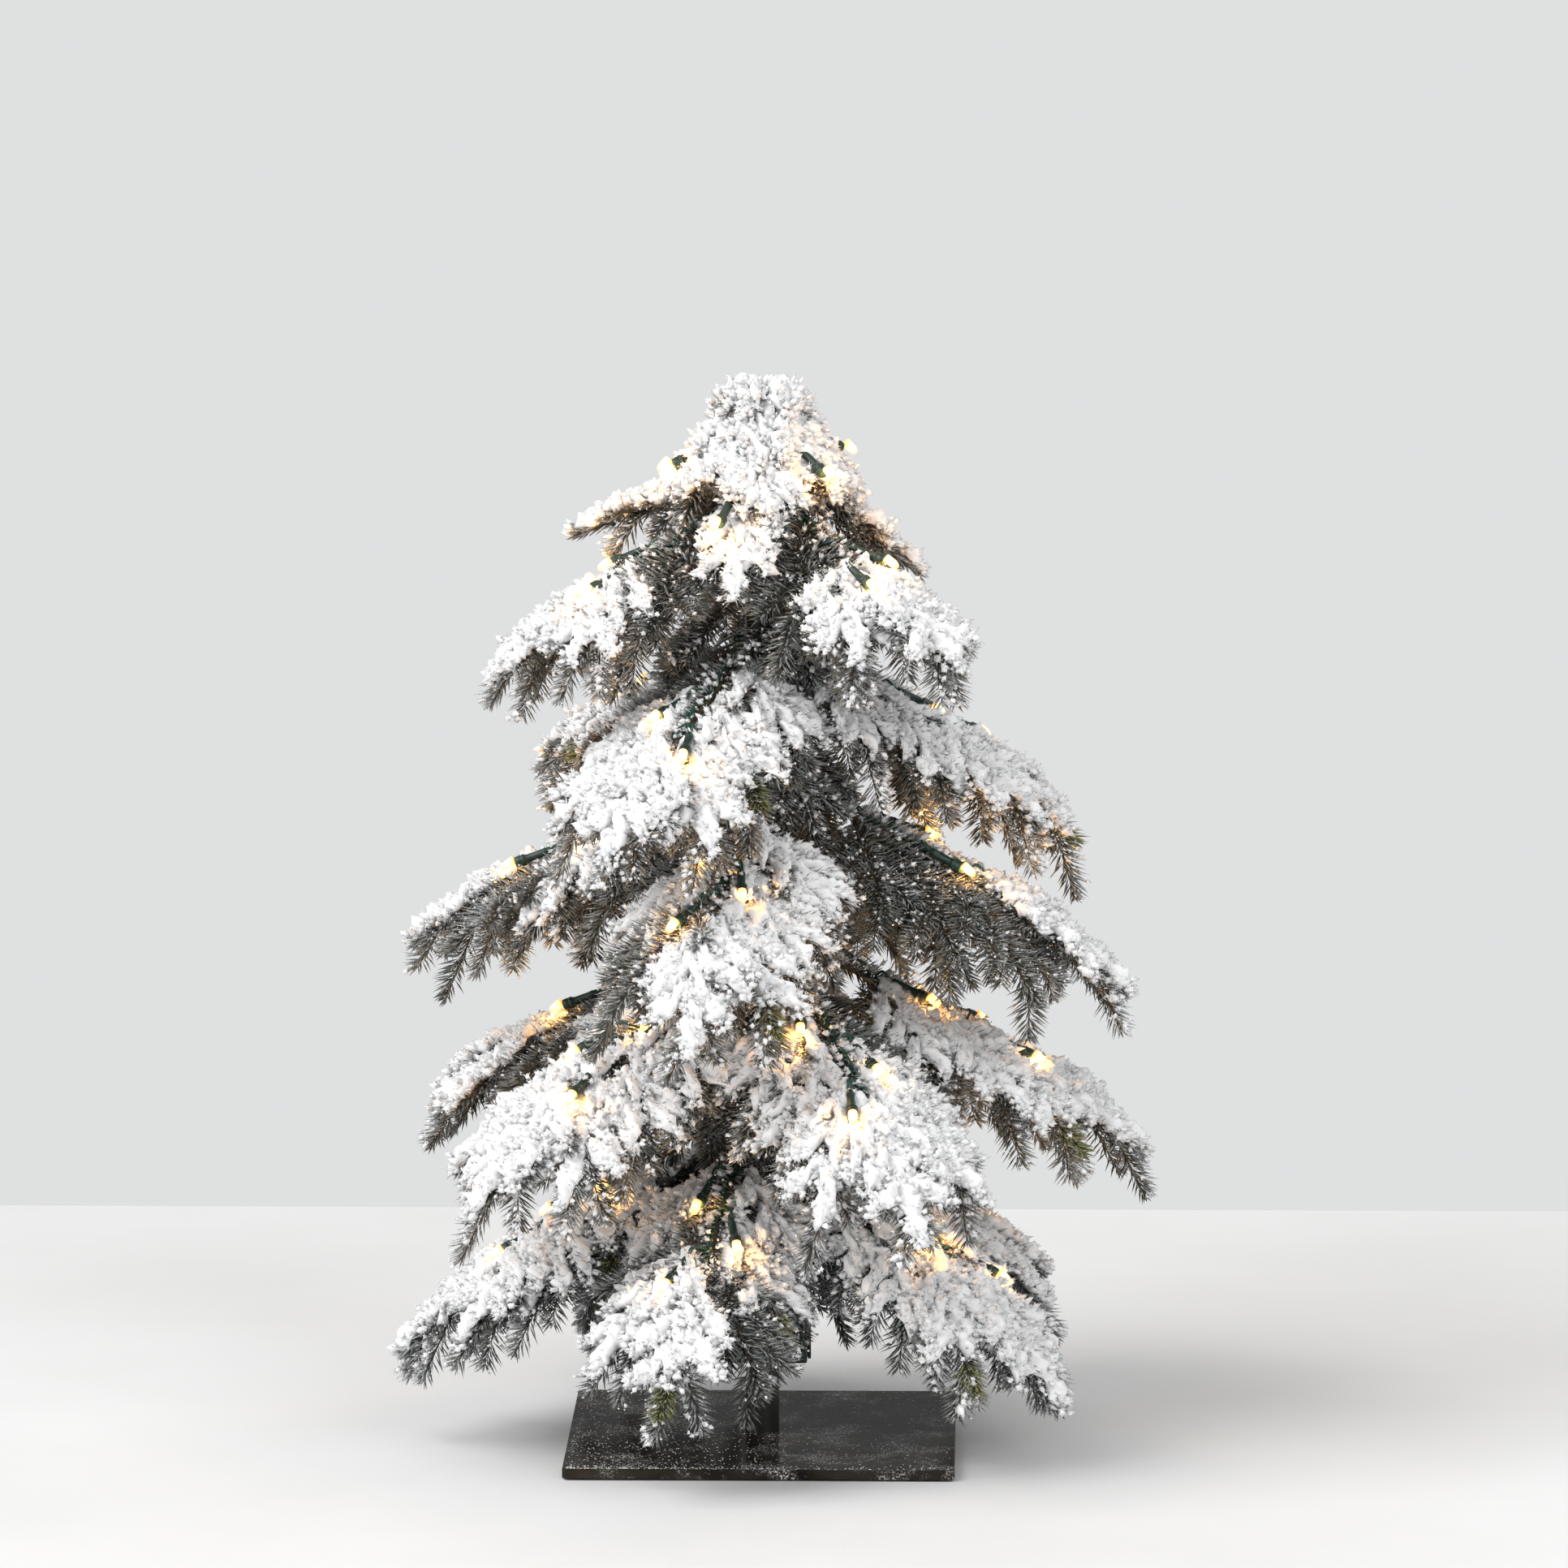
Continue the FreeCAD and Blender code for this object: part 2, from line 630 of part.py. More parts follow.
def main():
    os.makedirs("parts", exist_ok=True)
    branches = plan_branches()
    save("base_pad", base_pad())
    save("base_plate", base_plate())
    save("pole_screw", pole_screw())
    save("pole_foot_plug", pole_foot_plug())
    save("trunk_pole", trunk_pole())
    save("pole_top_plug", pole_top_plug())
    save("branch_wire_legs", branch_legs(branches))
    save("binding_bands", binding_bands())
    save("top_tuft", tuft_solids())
    save("top_tuft_lights", lamp_solids(plan_tuft_lamps()))
    save("trunk_filler_sprigs", filler_solids())
    save("trunk_light_string", trunk_string())
    for branch in branches:
        save(f"branch_{branch.name}", branch_solids(branch))
        save(f"branch_{branch.name}_lights", branch_lights(branch))
    save("battery_case", battery_case())
    save("battery_cover", battery_cover())
    save("battery_cells", battery_cells())
    save("battery_contacts", battery_contacts())
    save("timer_board", timer_board())
    save("switch_slider", switch_slider())
    save("pole_ties", pole_ties())
    print(f"bend radii of the wires: {min(BEND_RADII):.1f} to {max(BEND_RADII):.1f} mm")


main()
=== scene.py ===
"""Looks of the flocked tabletop tree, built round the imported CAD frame. Metres, +Z up.

Every sprig, lamp and wire is placed from the solids of the CAD nodes: a sprig's visible needles and flock
grow along the axis of its CAD spindle, and a lamp's visible parts along the axis of its CAD holder.
"""

import json
import math
import zlib

import bpy
import numpy as np
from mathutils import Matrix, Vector

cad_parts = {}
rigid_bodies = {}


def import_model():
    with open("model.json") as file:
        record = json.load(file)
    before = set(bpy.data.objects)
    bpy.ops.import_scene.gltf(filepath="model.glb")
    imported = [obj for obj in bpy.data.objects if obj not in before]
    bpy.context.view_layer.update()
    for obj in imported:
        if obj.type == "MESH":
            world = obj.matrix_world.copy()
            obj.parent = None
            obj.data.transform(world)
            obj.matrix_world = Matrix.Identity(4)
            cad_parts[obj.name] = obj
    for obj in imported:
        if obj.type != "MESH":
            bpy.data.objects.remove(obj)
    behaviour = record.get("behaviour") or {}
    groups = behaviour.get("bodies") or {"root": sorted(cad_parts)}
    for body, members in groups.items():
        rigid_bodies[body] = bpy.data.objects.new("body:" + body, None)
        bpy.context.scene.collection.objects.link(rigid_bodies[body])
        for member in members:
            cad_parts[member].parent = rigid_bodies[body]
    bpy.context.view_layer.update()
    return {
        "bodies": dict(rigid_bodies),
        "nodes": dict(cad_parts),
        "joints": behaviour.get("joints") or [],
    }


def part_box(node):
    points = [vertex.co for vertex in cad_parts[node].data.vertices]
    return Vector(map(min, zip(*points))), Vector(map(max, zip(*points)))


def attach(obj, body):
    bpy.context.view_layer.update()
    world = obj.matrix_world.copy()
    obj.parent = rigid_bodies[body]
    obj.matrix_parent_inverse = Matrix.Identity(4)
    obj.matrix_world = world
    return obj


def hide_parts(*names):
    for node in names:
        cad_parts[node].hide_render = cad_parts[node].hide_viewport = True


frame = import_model()

MM = 0.001
UP = np.array([0.0, 0.0, 1.0])
nodes = frame["nodes"]
joints = {j["child"]: j for j in frame["joints"]}
branch_names = sorted(b[len("branch_"):] for b in frame["bodies"] if b.startswith("branch_"))

# Needles and flock
NEEDLE_LENGTH = 15.0 * MM
NEEDLE_WIDTH = 1.35 * MM
NEEDLE_STEP = 2.7 * MM
NEEDLE_ROWS = 7
NEEDLE_ARC = 262.0  # degrees round a twig that the rows share; the rest is open, underneath
CLUMP_R = 2.6 * MM
SPIKES_PER_CLUMP = 5
MAT_STEP = 2.4 * MM
MAT_COLUMNS = 9
MAT_REACH = 0.44  # how far out it lies, as a share of the needles' length
MAT_SNOW = 0.6  # a shoot with no more snow than this has no mat

# Twigs
TWIG_R = 0.9 * MM
TWIG_SAG = 0.05  # how far the end of a shoot drops, as a share of its length
TWIG_RINGS = 7
FORKS = 3
FORK_SPREAD = 42.0 * MM
RING_HANGING = 2
TUFT_SPREAD = 34.0 * MM
FILLER_SPREAD = 50.0 * MM
SIDE_SHOOT = {"sag": 0.03, "first": 4.0 * MM, "thick": 0.7 * MM, "needle": 0.9}
HANGING_SHOOTS = ((0.30, 1), (0.58, -1), (0.80, 1))  # share of the way along a sprig, and the side
LOWEST_TIP = 38.0 * MM
SHOULDER = 14.0 * MM
SHOULDER_RISE = math.radians(8)
STEM_R = 1.7 * MM
BARE_TWIG_R = 6.5 * MM  # a thinner solid of a ring is a bare twig
CROWN_CORE = 40.0 * MM  # a shorter one is the middle of the crown
# Each whorl of the crown: how far below the top in mm, dip in degrees, length in mm, number of shoots
CROWN_WHORLS = ((17, -38, 9, 6), (12, 10, 22, 8), (18, 28, 36, 9), (27, 44, 46, 9))

# Light string
WIRE_R = 0.72 * MM
WIRE_SIDES = 6
WRAP_R = 3.1 * MM
WRAP_BACK = 8.0 * MM  # how far behind the start of each holder the wires wrap round the stem
WRAP_TURNS = 2.4
LOOP_STRANDS = 2
LOOP_BEFORE = 6.0 * MM  # how far behind the elbow the loop starts
LOOP_SHORT = 5.0 * MM  # how far before the stem's end it stops
LOOP_STATIONS = 64
LEAD_ASIDE = 0.8 * MM
HOOK_BACK = 9.0 * MM  # where the leads of a lamp meet the loop, against the start of its holder
HOOK_LIFT = 3.4 * MM
HOOK_ASIDE = 2.2 * MM
TUFT_LEAD_R = 11.0 * MM  # where the leads of the tuft's lamps meet the pole
TUFT_LEAD_RISE = 4.0 * MM
BUNDLE_R = 0.85 * MM
BUNDLE_STRANDS = 3
BUNDLE_STEP = 2.094  # radians from one strand to the next
BUNDLE_STATIONS = 150
TURN_GAP = 0.13  # radians left open on each side where a turn round the pole starts
TURN_STATIONS = 60
TURN_TWISTS = 7
TURN_TWIST_R = 0.8 * MM
HOLDER_LENGTH = 22.0 * MM
HOLDER_SIDES = 14
BULB_SIDES = 12
LAMP_SINK = 8.5 * MM
TUFT_LAMP_SINK = 9.0 * MM
LAMP_POWER = 0.050
LAMP_COLOUR = (1.0, 0.47, 0.11)
BULB_STRENGTH = 2.0
NEEDLE_ROOM = 3.2 * MM  # kept free round the axis of a lens
FLOCK_ROOM = 3.6 * MM

# Base, stage, light and camera
DUST_GRAINS = 5200
DUST_MARGIN = 2.0 * MM
DUST_AT_FRONT = 0.22  # share of the grains that lie along the front edge
DUST_FRONT_DEPTH = 3.5 * MM
DUST_POLE_R = 12.0 * MM  # none lies nearer to the pole's axis
WORLD_COLOUR = (0.74, 0.745, 0.75, 1)
WORLD_LIGHT = 0.80
WORLD_SEEN = 1.0
CAMERA_AIM = (0.0122, 0.0, 0.3788)
CAMERA_AZIMUTH = math.radians(1.2)
CAMERA_ELEVATION = math.radians(8.0)
CAMERA_DISTANCE = 5.28
CAMERA_LENS = 214.3
CAMERA_SENSOR = 36

totals = {}


def seeded(name):
    """A random generator that depends only on a piece's name."""
    return np.random.default_rng(zlib.crc32(name.encode()))


def unit(v):
    return v / np.linalg.norm(v, axis=-1, keepdims=True)


def added(name, data):
    """A new object in the scene."""
    made = bpy.data.objects.new(name, data)
    bpy.context.scene.collection.objects.link(made)
    return made


# ---------------------------------------------------------------- reading the frame
def solids_of(node):
    """The corner points of each separate solid in a CAD node."""
    mesh = nodes[node].data
    corners = np.empty(len(mesh.vertices) * 3)
    mesh.vertices.foreach_get("co", corners)
    keys, place = np.unique(np.round(corners.reshape(-1, 3) * 1e6), axis=0, return_inverse=True)
    edges = np.empty(len(mesh.edges) * 2, np.int32)
    mesh.edges.foreach_get("vertices", edges)
    edges = place.ravel()[edges].reshape(-1, 2)
    label = np.arange(len(keys))
    while True:
        low = np.minimum(label[edges[:, 0]], label[edges[:, 1]])
        lower = label.copy()
        np.minimum.at(lower, edges[:, 0], low)
        np.minimum.at(lower, edges[:, 1], low)
        lower = lower[lower]
        if (lower == label).all():
            break
        label = lower
    return [keys[label == n] * 1e-6 for n in np.unique(label)]


class Spindle:
    """The ends, heading, length and greatest radius of a solid of revolution. Its start is its nearer end."""

    END_SLICE = 0.1 * MM

    def __init__(self, points, near):
        middle = points.mean(0)
        axis = np.linalg.svd(points - middle, full_matrices=False)[2][0]
        along = (points - middle) @ axis
        first = points[along < along.min() + self.END_SLICE].mean(0)
        last = points[along > along.max() - self.END_SLICE].mean(0)
        self.start, self.end = sorted([first, last], key=near)
        self.length = np.linalg.norm(self.end - self.start)
        self.heading = (self.end - self.start) / self.length
        across = points - self.start
        across = across - np.outer(across @ self.heading, self.heading)
        self.radius = np.linalg.norm(across, axis=1).max()


def from_point(point):
    return lambda end: np.linalg.norm(end - point)


def from_pole(end):
    return math.hypot(end[0], end[1]) + 0.01 * end[2]


# ---------------------------------------------------------------- meshes
class Heap:
    """Many small closed shapes gathered into one mesh, each with a value that its material reads."""

    LARGE = -1
    TAKEN_OUT = -2

    def __init__(self):
        self.points, self.faces, self.values, self.kinds, self.shapes = [], [], [], [], []
        self.count = 0

    def add(self, points, faces, value=0.0, kind=0, shape=LARGE):
        """shape is a number for each point, that of the small shape it belongs to, or LARGE."""
        points = np.asarray(points, float).reshape(-1, 3)
        faces = np.asarray(faces).reshape(-1, 3)
        self.shapes.append(np.broadcast_to(np.asarray(shape), (len(points),)))
        self.points.append(points)
        self.faces.append(faces + self.count)
        self.values.append(np.broadcast_to(np.asarray(value, float), (len(points),)))
        self.kinds.append(np.full(len(faces), kind))
        self.count += len(points)

    def stamp(self, shapes, faces, values=None, kind=0):
        """shapes is (n, k, 3), n copies of a shape of k points. values is one number for each copy."""
        n, k, _ = shapes.shape
        if not n:
            return
        all_faces = (faces[None] + (np.arange(n) * k)[:, None, None]).reshape(-1, 3)
        values = 0.0 if values is None else np.repeat(values, k)
        self.add(shapes.reshape(-1, 3), all_faces, values, kind, np.repeat(np.arange(n), k) + self.count)

    def make_room(self, lenses, room):
        """Take out the small shapes that would cover a lens, and push the large ones off it."""
        points, values, shapes = [np.concatenate(part) for part in (self.points, self.values, self.shapes)]
        faces, kinds = [np.concatenate(part) for part in (self.faces, self.kinds)]
        for lens in lenses:
            along = np.clip((points - lens.start) @ lens.heading, 0, lens.length)
            off = points - lens.start - np.outer(along, lens.heading)
            distance = np.linalg.norm(off, axis=1)
            near = distance < room
            shapes[np.isin(shapes, np.unique(shapes[near & (shapes >= 0)]))] = self.TAKEN_OUT
            large = near & (shapes == self.LARGE)
            push = (room - distance[large]) / np.maximum(distance[large], 1e-5)
            points[large] += off[large] * push[:, None]
        kept = shapes != self.TAKEN_OUT
        place = np.cumsum(kept) - 1
        whole = kept[faces[:, 0]]
        self.points, self.values, self.shapes = [points[kept]], [values[kept]], [shapes[kept]]
        self.faces, self.kinds = [place[faces[whole]]], [kinds[whole]]
        self.count = int(kept.sum())

    def piece(self, name, body, materials, slot, replaces=()):
        points = np.concatenate(self.points).astype(np.float32)
        faces = np.concatenate(self.faces).astype(np.int32)
        mesh = bpy.data.meshes.new(name)
        mesh.vertices.add(len(points))
        mesh.vertices.foreach_set("co", points.ravel())
        mesh.loops.add(faces.size)
        mesh.loops.foreach_set("vertex_index", faces.ravel())
        mesh.polygons.add(len(faces))
        mesh.polygons.foreach_set("loop_start", np.arange(0, faces.size, 3, dtype=np.int32))
        mesh.polygons.foreach_set("material_index", np.concatenate(self.kinds).astype(np.int32))
        mesh.polygons.foreach_set("use_smooth", np.full(len(faces), True))
        mesh.update(calc_edges=True)
        shade = mesh.attributes.new("amount", "FLOAT", "POINT")
        shade.data.foreach_set("value", np.concatenate(self.values).astype(np.float32))
        for material in materials:
            mesh.materials.append(material)
        piece = added(name, mesh)
        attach(piece, body)
        if replaces:
            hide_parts(*replaces)
        totals[name] = len(faces)
        return piece


GRAIN_POINTS = np.array([(1, 0, 0), (-1, 0, 0), (0, 1, 0), (0, -1, 0), (0, 0, 1), (0, 0, -1)], float)
GRAIN_FACES = np.array([
    (0, 2, 4), (2, 1, 4), (1, 3, 4), (3, 0, 4), (2, 0, 5), (1, 2, 5), (3, 1, 5), (0, 3, 5)])
SPIKE_POINTS = np.array([(0, 1, 0), (0, -0.5, 0.87), (0, -0.5, -0.87), (1, 0, 0)], float)
SPIKE_FACES = np.array([(0, 1, 3), (1, 2, 3), (2, 0, 3), (0, 2, 1)])
# A needle one unit long: its foot, three corners round its middle, and its tip
NEEDLE_POINTS = np.array([
    (0, 0, 0), (0.5, 0.5, 0.15), (0.5, -0.5, 0.15), (0.5, 0, -0.45), (1, 0, -0.1)], float)
NEEDLE_FACES = np.array([(0, 1, 2), (0, 2, 3), (0, 3, 1), (1, 4, 2), (2, 4, 3), (3, 4, 1)])


def frames(forward, across):
    """(n, 3, 3) matrices whose rows are each copy's own axes, forward first."""
    x = unit(forward)
    y = unit(across - (across * x).sum(1, keepdims=True) * x)
    return np.stack([x, y, np.cross(x, y)], axis=1)


def turned(shapes, axes, origin):
    """Shapes (n, k, 3) turned to their own axes (n, 3, 3) and moved to their origins (n, 3)."""
    return np.einsum("nkj,nji->nki", shapes, axes) + origin[:, None, :]


def placed(shape, scale, axes, origin):
    """Copies of one shape: scale is (n, 3), axes (n, 3, 3) and origin (n, 3)."""
    return turned(shape[None] * scale[:, None, :], axes, origin)


def barrel_faces(rings, sides):
    """The wall over a row of rings, and a fan at each end. The two middle points follow the rings' own."""
    faces = []
    for i in range(rings - 1):
        for j in range(sides):
            a, b = i * sides + j, i * sides + (j + 1) % sides
            faces += [(a, a + sides, b), (b, a + sides, b + sides)]
    last = (rings - 1) * sides
    for j in range(sides):
        beside = (j + 1) % sides
        faces += [(j, beside, rings * sides), (last + beside, last + j, rings * sides + 1)]
    return np.array(faces)


def tube(heap, path, radius, sides=WIRE_SIDES, value=0.0, kind=0):
    """A closed round tube along a list of points. radius is one number or one for each point."""
    path = np.asarray(path, float)
    n = len(path)
    ahead = np.roll(path, -1, 0) - np.roll(path, 1, 0)
    ahead[0] = path[1] - path[0]
    ahead[-1] = path[-1] - path[-2]
    ahead = unit(ahead)
    side = np.cross(ahead[0], UP if abs(ahead[0][2]) < 0.9 else np.array([1.0, 0, 0]))
    sides_at = []
    for direction in ahead:
        side = unit(side - (side @ direction) * direction)
        sides_at.append(side)
    side = np.array(sides_at)
    other = np.cross(ahead, side)
    turn = (np.arange(sides) * 2 * math.pi / sides)[:, None]
    radius = np.broadcast_to(np.asarray(radius, float), (n,))[:, None, None]
    rings = path[:, None] + radius * (side[:, None] * np.cos(turn) + other[:, None] * np.sin(turn))
    points = np.vstack([rings.reshape(-1, 3), path[:1], path[-1:]])
    heap.add(points, barrel_faces(n, sides), value, kind)


def lathe(heap, start, heading, profile, sides, values=None, kind=0):
    """A turned shape from (distance, radius) pairs along a heading. values is one number for each pair."""
    profile = np.asarray(profile, float)
    x = frames(heading[None], np.array([[0.3, 0.5, 0.81]]))[0]
    turn = np.arange(sides) * 2 * math.pi / sides
    ring = np.outer(np.cos(turn), x[1]) + np.outer(np.sin(turn), x[2])
    points = start + profile[:, 0, None, None] * x[0] + profile[:, 1, None, None] * ring[None]
    n = len(profile)
    ends = np.array([start + profile[0, 0] * x[0], start + profile[-1, 0] * x[0]])
    values = np.zeros(n) if values is None else np.asarray(values, float)
    value = np.concatenate([np.repeat(values, sides), values[[0, -1]]])
    faces = barrel_faces(n, sides)[:, [0, 2, 1]]
    heap.add(np.vstack([points.reshape(-1, 3), ends]), faces, value, kind)


# ---------------------------------------------------------------- materials
def material(name, roughness=0.5, metallic=0.0):
    made = bpy.data.materials.new(name)
    made.use_nodes = True
    tree = made.node_tree
    shader = tree.nodes["Principled BSDF"]
    shader.inputs["Roughness"].default_value = roughness
    shader.inputs["Metallic"].default_value = metallic
    return made, tree, shader


def noise(tree, scale, detail=3.0, roughness=0.55):
    """A noise texture in the object's own coordinates. Its scale is in waves for each metre."""
    where = tree.nodes.new("ShaderNodeTexCoord")
    made = tree.nodes.new("ShaderNodeTexNoise")
    made.inputs["Scale"].default_value = scale
    made.inputs["Detail"].default_value = detail
    made.inputs["Roughness"].default_value = roughness
    tree.links.new(where.outputs["Object"], made.inputs["Vector"])
    return made.outputs["Fac"]


def ramp(tree, source, stops):
    """A colour ramp from (position, colour) stops."""
    made = tree.nodes.new("ShaderNodeValToRGB")
    elements = made.color_ramp.elements
    while len(elements) < len(stops):
        elements.new(0.5)
    for element, (position, colour) in zip(elements, stops):
        element.position = position
        element.color = (*colour, 1.0)
    tree.links.new(source, made.inputs["Fac"])
    return made.outputs["Color"]


def grey(value):
    return (value, value, value)


def mixed(tree, factor, first, second):
    """Two colours mixed by a factor. Each is an output socket or a colour."""
    made = tree.nodes.new("ShaderNodeMix")
    made.data_type = "RGBA"
    for name, value in ((0, factor), (6, first), (7, second)):
        if isinstance(value, tuple):
            made.inputs[name].default_value = (*value, 1.0)
        else:
            tree.links.new(value, made.inputs[name])
    return made.outputs[2]


def bump(tree, shader, source, height, distance=0.001):
    made = tree.nodes.new("ShaderNodeBump")
    made.inputs["Strength"].default_value = height
    made.inputs["Distance"].default_value = distance
    tree.links.new(source, made.inputs["Height"])
    tree.links.new(made.outputs["Normal"], shader.inputs["Normal"])


def product(tree, first, second, clamp=False):
    made = tree.nodes.new("ShaderNodeMath")
    made.operation = "MULTIPLY"
    made.use_clamp = clamp
    tree.links.new(first, made.inputs[0])
    tree.links.new(second, made.inputs[1])
    return made.outputs[0]


def amount(tree):
    """The value that each small shape carries."""
    made = tree.nodes.new("ShaderNodeAttribute")
    made.attribute_name = "amount"
    return made.outputs["Fac"]


def flock_material():
    made, tree, shader = material("flock", 0.95)
    colour = ramp(tree, noise(tree, 900, 4), [(0.3, (0.84, 0.845, 0.86)), (0.6, (0.93, 0.93, 0.93))])
    tree.links.new(colour, shader.inputs["Base Color"])
    bump(tree, shader, noise(tree, 1600, 4, 0.7), 0.7)
    return made


def needle_material():
    """Dark olive needles. The amount is how frosted a needle is."""
    made, tree, shader = material("needles", 0.55)
    base = ramp(tree, noise(tree, 420, 3), [(0.35, (0.007, 0.012, 0.006)), (0.7, (0.036, 0.047, 0.024))])
    frost = ramp(tree, noise(tree, 1500, 4, 0.7), [(0.38, grey(0.0)), (0.62, grey(1.0))])
    colour = mixed(tree, product(tree, frost, amount(tree), clamp=True), base, (0.72, 0.73, 0.74))
    tree.links.new(colour, shader.inputs["Base Color"])
    bump(tree, shader, noise(tree, 1200, 3), 0.4)
    return made


def bare_needle_material():
    """The yellow-green needles at the unflocked end of a shoot."""
    made, tree, shader = material("bare_needles", 0.5)
    colour = ramp(tree, noise(tree, 350, 3), [(0.35, (0.085, 0.095, 0.030)), (0.7, (0.30, 0.29, 0.11))])
    tree.links.new(colour, shader.inputs["Base Color"])
    bump(tree, shader, noise(tree, 1200, 3), 0.3)
    return made


def twig_material():
    made, tree, shader = material("twig", 0.7)
    colour = ramp(tree, noise(tree, 500, 4), [(0.3, (0.040, 0.030, 0.016)), (0.7, (0.15, 0.115, 0.070))])
    tree.links.new(colour, shader.inputs["Base Color"])
    bump(tree, shader, noise(tree, 800, 3), 0.6)
    return made


def coloured(name, dark, light, scale, roughness, metallic=0.0, height=0.15, grain=900.0, coat=0.0):
    """A moulded, painted or plated finish: two close tones, and a fine grain."""
    made, tree, shader = material(name, roughness, metallic)
    colour = ramp(tree, noise(tree, scale, 4), [(0.35, dark), (0.68, light)])
    tree.links.new(colour, shader.inputs["Base Color"])
    shader.inputs["Coat Weight"].default_value = coat
    bump(tree, shader, noise(tree, grain, 3), height)
    return made


def bulb_material():
    """A lit lens: the amount runs from 0 at the holder to 1 at the bright middle."""
    made, tree, shader = material("bulb", 0.15)
    warmth = [(0.0, (1.0, 0.20, 0.010)), (0.5, (1.0, 0.42, 0.06)), (1.0, (1.0, 0.78, 0.30))]
    glow = ramp(tree, amount(tree), warmth)
    shader.inputs["Base Color"].default_value = (0.95, 0.75, 0.45, 1.0)
    tree.links.new(glow, shader.inputs["Emission Color"])
    shader.inputs["Emission Strength"].default_value = BULB_STRENGTH
    made.cycles.emission_sampling = "NONE"
    return made


def plate_material():
    """Satin black steel with brownish blotches, and a dusting of flock in streaks and specks."""
    made, tree, shader = material("plate_steel", 0.5)
    shader.inputs["Specular IOR Level"].default_value = 0.0
    shader.inputs["Coat Weight"].default_value = 0.22
    shader.inputs["Coat Roughness"].default_value = 0.16
    steel = ramp(tree, noise(tree, 28, 5), [(0.35, (0.008, 0.0065, 0.005)), (0.7, (0.036, 0.028, 0.020))])
    dust = ramp(tree, noise(tree, 34, 9, 0.72), [(0.50, grey(0.0)), (0.66, grey(0.9))])
    specks = ramp(tree, noise(tree, 800, 3, 0.6), [(0.50, grey(0.0)), (0.62, grey(1.0))])
    colour = mixed(tree, product(tree, dust, specks), steel, (0.75, 0.75, 0.74))
    tree.links.new(colour, shader.inputs["Base Color"])
    gloss = ramp(tree, noise(tree, 45, 5), [(0.3, grey(0.25)), (0.7, grey(0.5))])
    tree.links.new(gloss, shader.inputs["Roughness"])
    bump(tree, shader, noise(tree, 700, 4), 0.08)
    return made


flock = flock_material()
needles = needle_material()
bare_needles = bare_needle_material()
twig = twig_material()
wire_green = coloured(
    "wire_green", (0.003, 0.040, 0.026), (0.008, 0.070, 0.045), 200, 0.28, height=0.05, coat=0.3)
holder_green = coloured("holder_green", (0.004, 0.018, 0.013), (0.012, 0.040, 0.028), 250, 0.42, height=0.1)
bulb = bulb_material()
plate_steel = plate_material()
pole_steel = coloured("pole_steel", (0.006, 0.006, 0.005), (0.022, 0.019, 0.016), 60, 0.34, height=0.06)
tape_green = coloured(
    "tape_green", (0.010, 0.030, 0.018), (0.028, 0.070, 0.042), 400, 0.6, height=0.5, grain=500)
leg_green = coloured("leg_green", (0.008, 0.022, 0.012), (0.022, 0.045, 0.026), 300, 0.5, height=0.2)
felt = coloured("felt", (0.006, 0.006, 0.006), (0.030, 0.030, 0.030), 1500, 0.98, height=1.0, grain=2500)
zinc = coloured("zinc", (0.40, 0.40, 0.41), (0.62, 0.62, 0.60), 300, 0.32, 1.0, 0.1)
black_plastic = coloured("black_plastic", (0.012, 0.012, 0.012), (0.030, 0.030, 0.030), 300, 0.5, height=0.3)
box_plastic = coloured(
    "box_plastic", (0.010, 0.028, 0.018), (0.020, 0.046, 0.030), 120, 0.48, height=0.35, grain=1400)
nickel = coloured("nickel", (0.50, 0.48, 0.44), (0.72, 0.69, 0.63), 300, 0.25, 1.0, 0.05)
board_green = coloured("board_green", (0.010, 0.090, 0.030), (0.020, 0.160, 0.055), 350, 0.35, height=0.15)
nylon = coloured("nylon", (0.008, 0.008, 0.008), (0.018, 0.018, 0.018), 300, 0.38, height=0.15)


def cell_material():
    """A printed sleeve: grey with a dark band at one end and no lettering."""
    made, tree, shader = material("cell_sleeve", 0.3, 0.4)
    where = tree.nodes.new("ShaderNodeTexCoord")
    split = tree.nodes.new("ShaderNodeSeparateXYZ")
    tree.links.new(where.outputs["Object"], split.inputs[0])
    low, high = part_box("battery_cells")
    span = tree.nodes.new("ShaderNodeMapRange")
    span.inputs["From Min"].default_value = low.z
    span.inputs["From Max"].default_value = high.z
    tree.links.new(split.outputs["Z"], span.inputs["Value"])
    bands = ramp(tree, span.outputs[0], [(0.30, (0.020, 0.020, 0.022)), (0.32, (0.33, 0.34, 0.36))])
    shade = ramp(tree, noise(tree, 400, 3), [(0.3, grey(0.85)), (0.7, grey(1.0))])
    tinted = tree.nodes.new("ShaderNodeMix")
    tinted.data_type = "RGBA"
    tinted.blend_type = "MULTIPLY"
    tinted.inputs[0].default_value = 1.0
    tree.links.new(bands, tinted.inputs[6])
    tree.links.new(shade, tinted.inputs[7])
    tree.links.new(tinted.outputs[2], shader.inputs["Base Color"])
    return made


KEPT = {
    "base_plate": plate_steel, "base_pad": felt, "trunk_pole": pole_steel, "pole_screw": zinc,
    "pole_foot_plug": black_plastic, "pole_top_plug": black_plastic, "branch_wire_legs": leg_green,
    "binding_bands": tape_green, "battery_case": box_plastic, "battery_cover": box_plastic,
    "battery_cells": cell_material(), "battery_contacts": nickel, "timer_board": board_green,
    "switch_slider": black_plastic, "pole_ties": nylon,
}
for node, finish in KEPT.items():
    nodes[node].data.materials.clear()
    nodes[node].data.materials.append(finish)


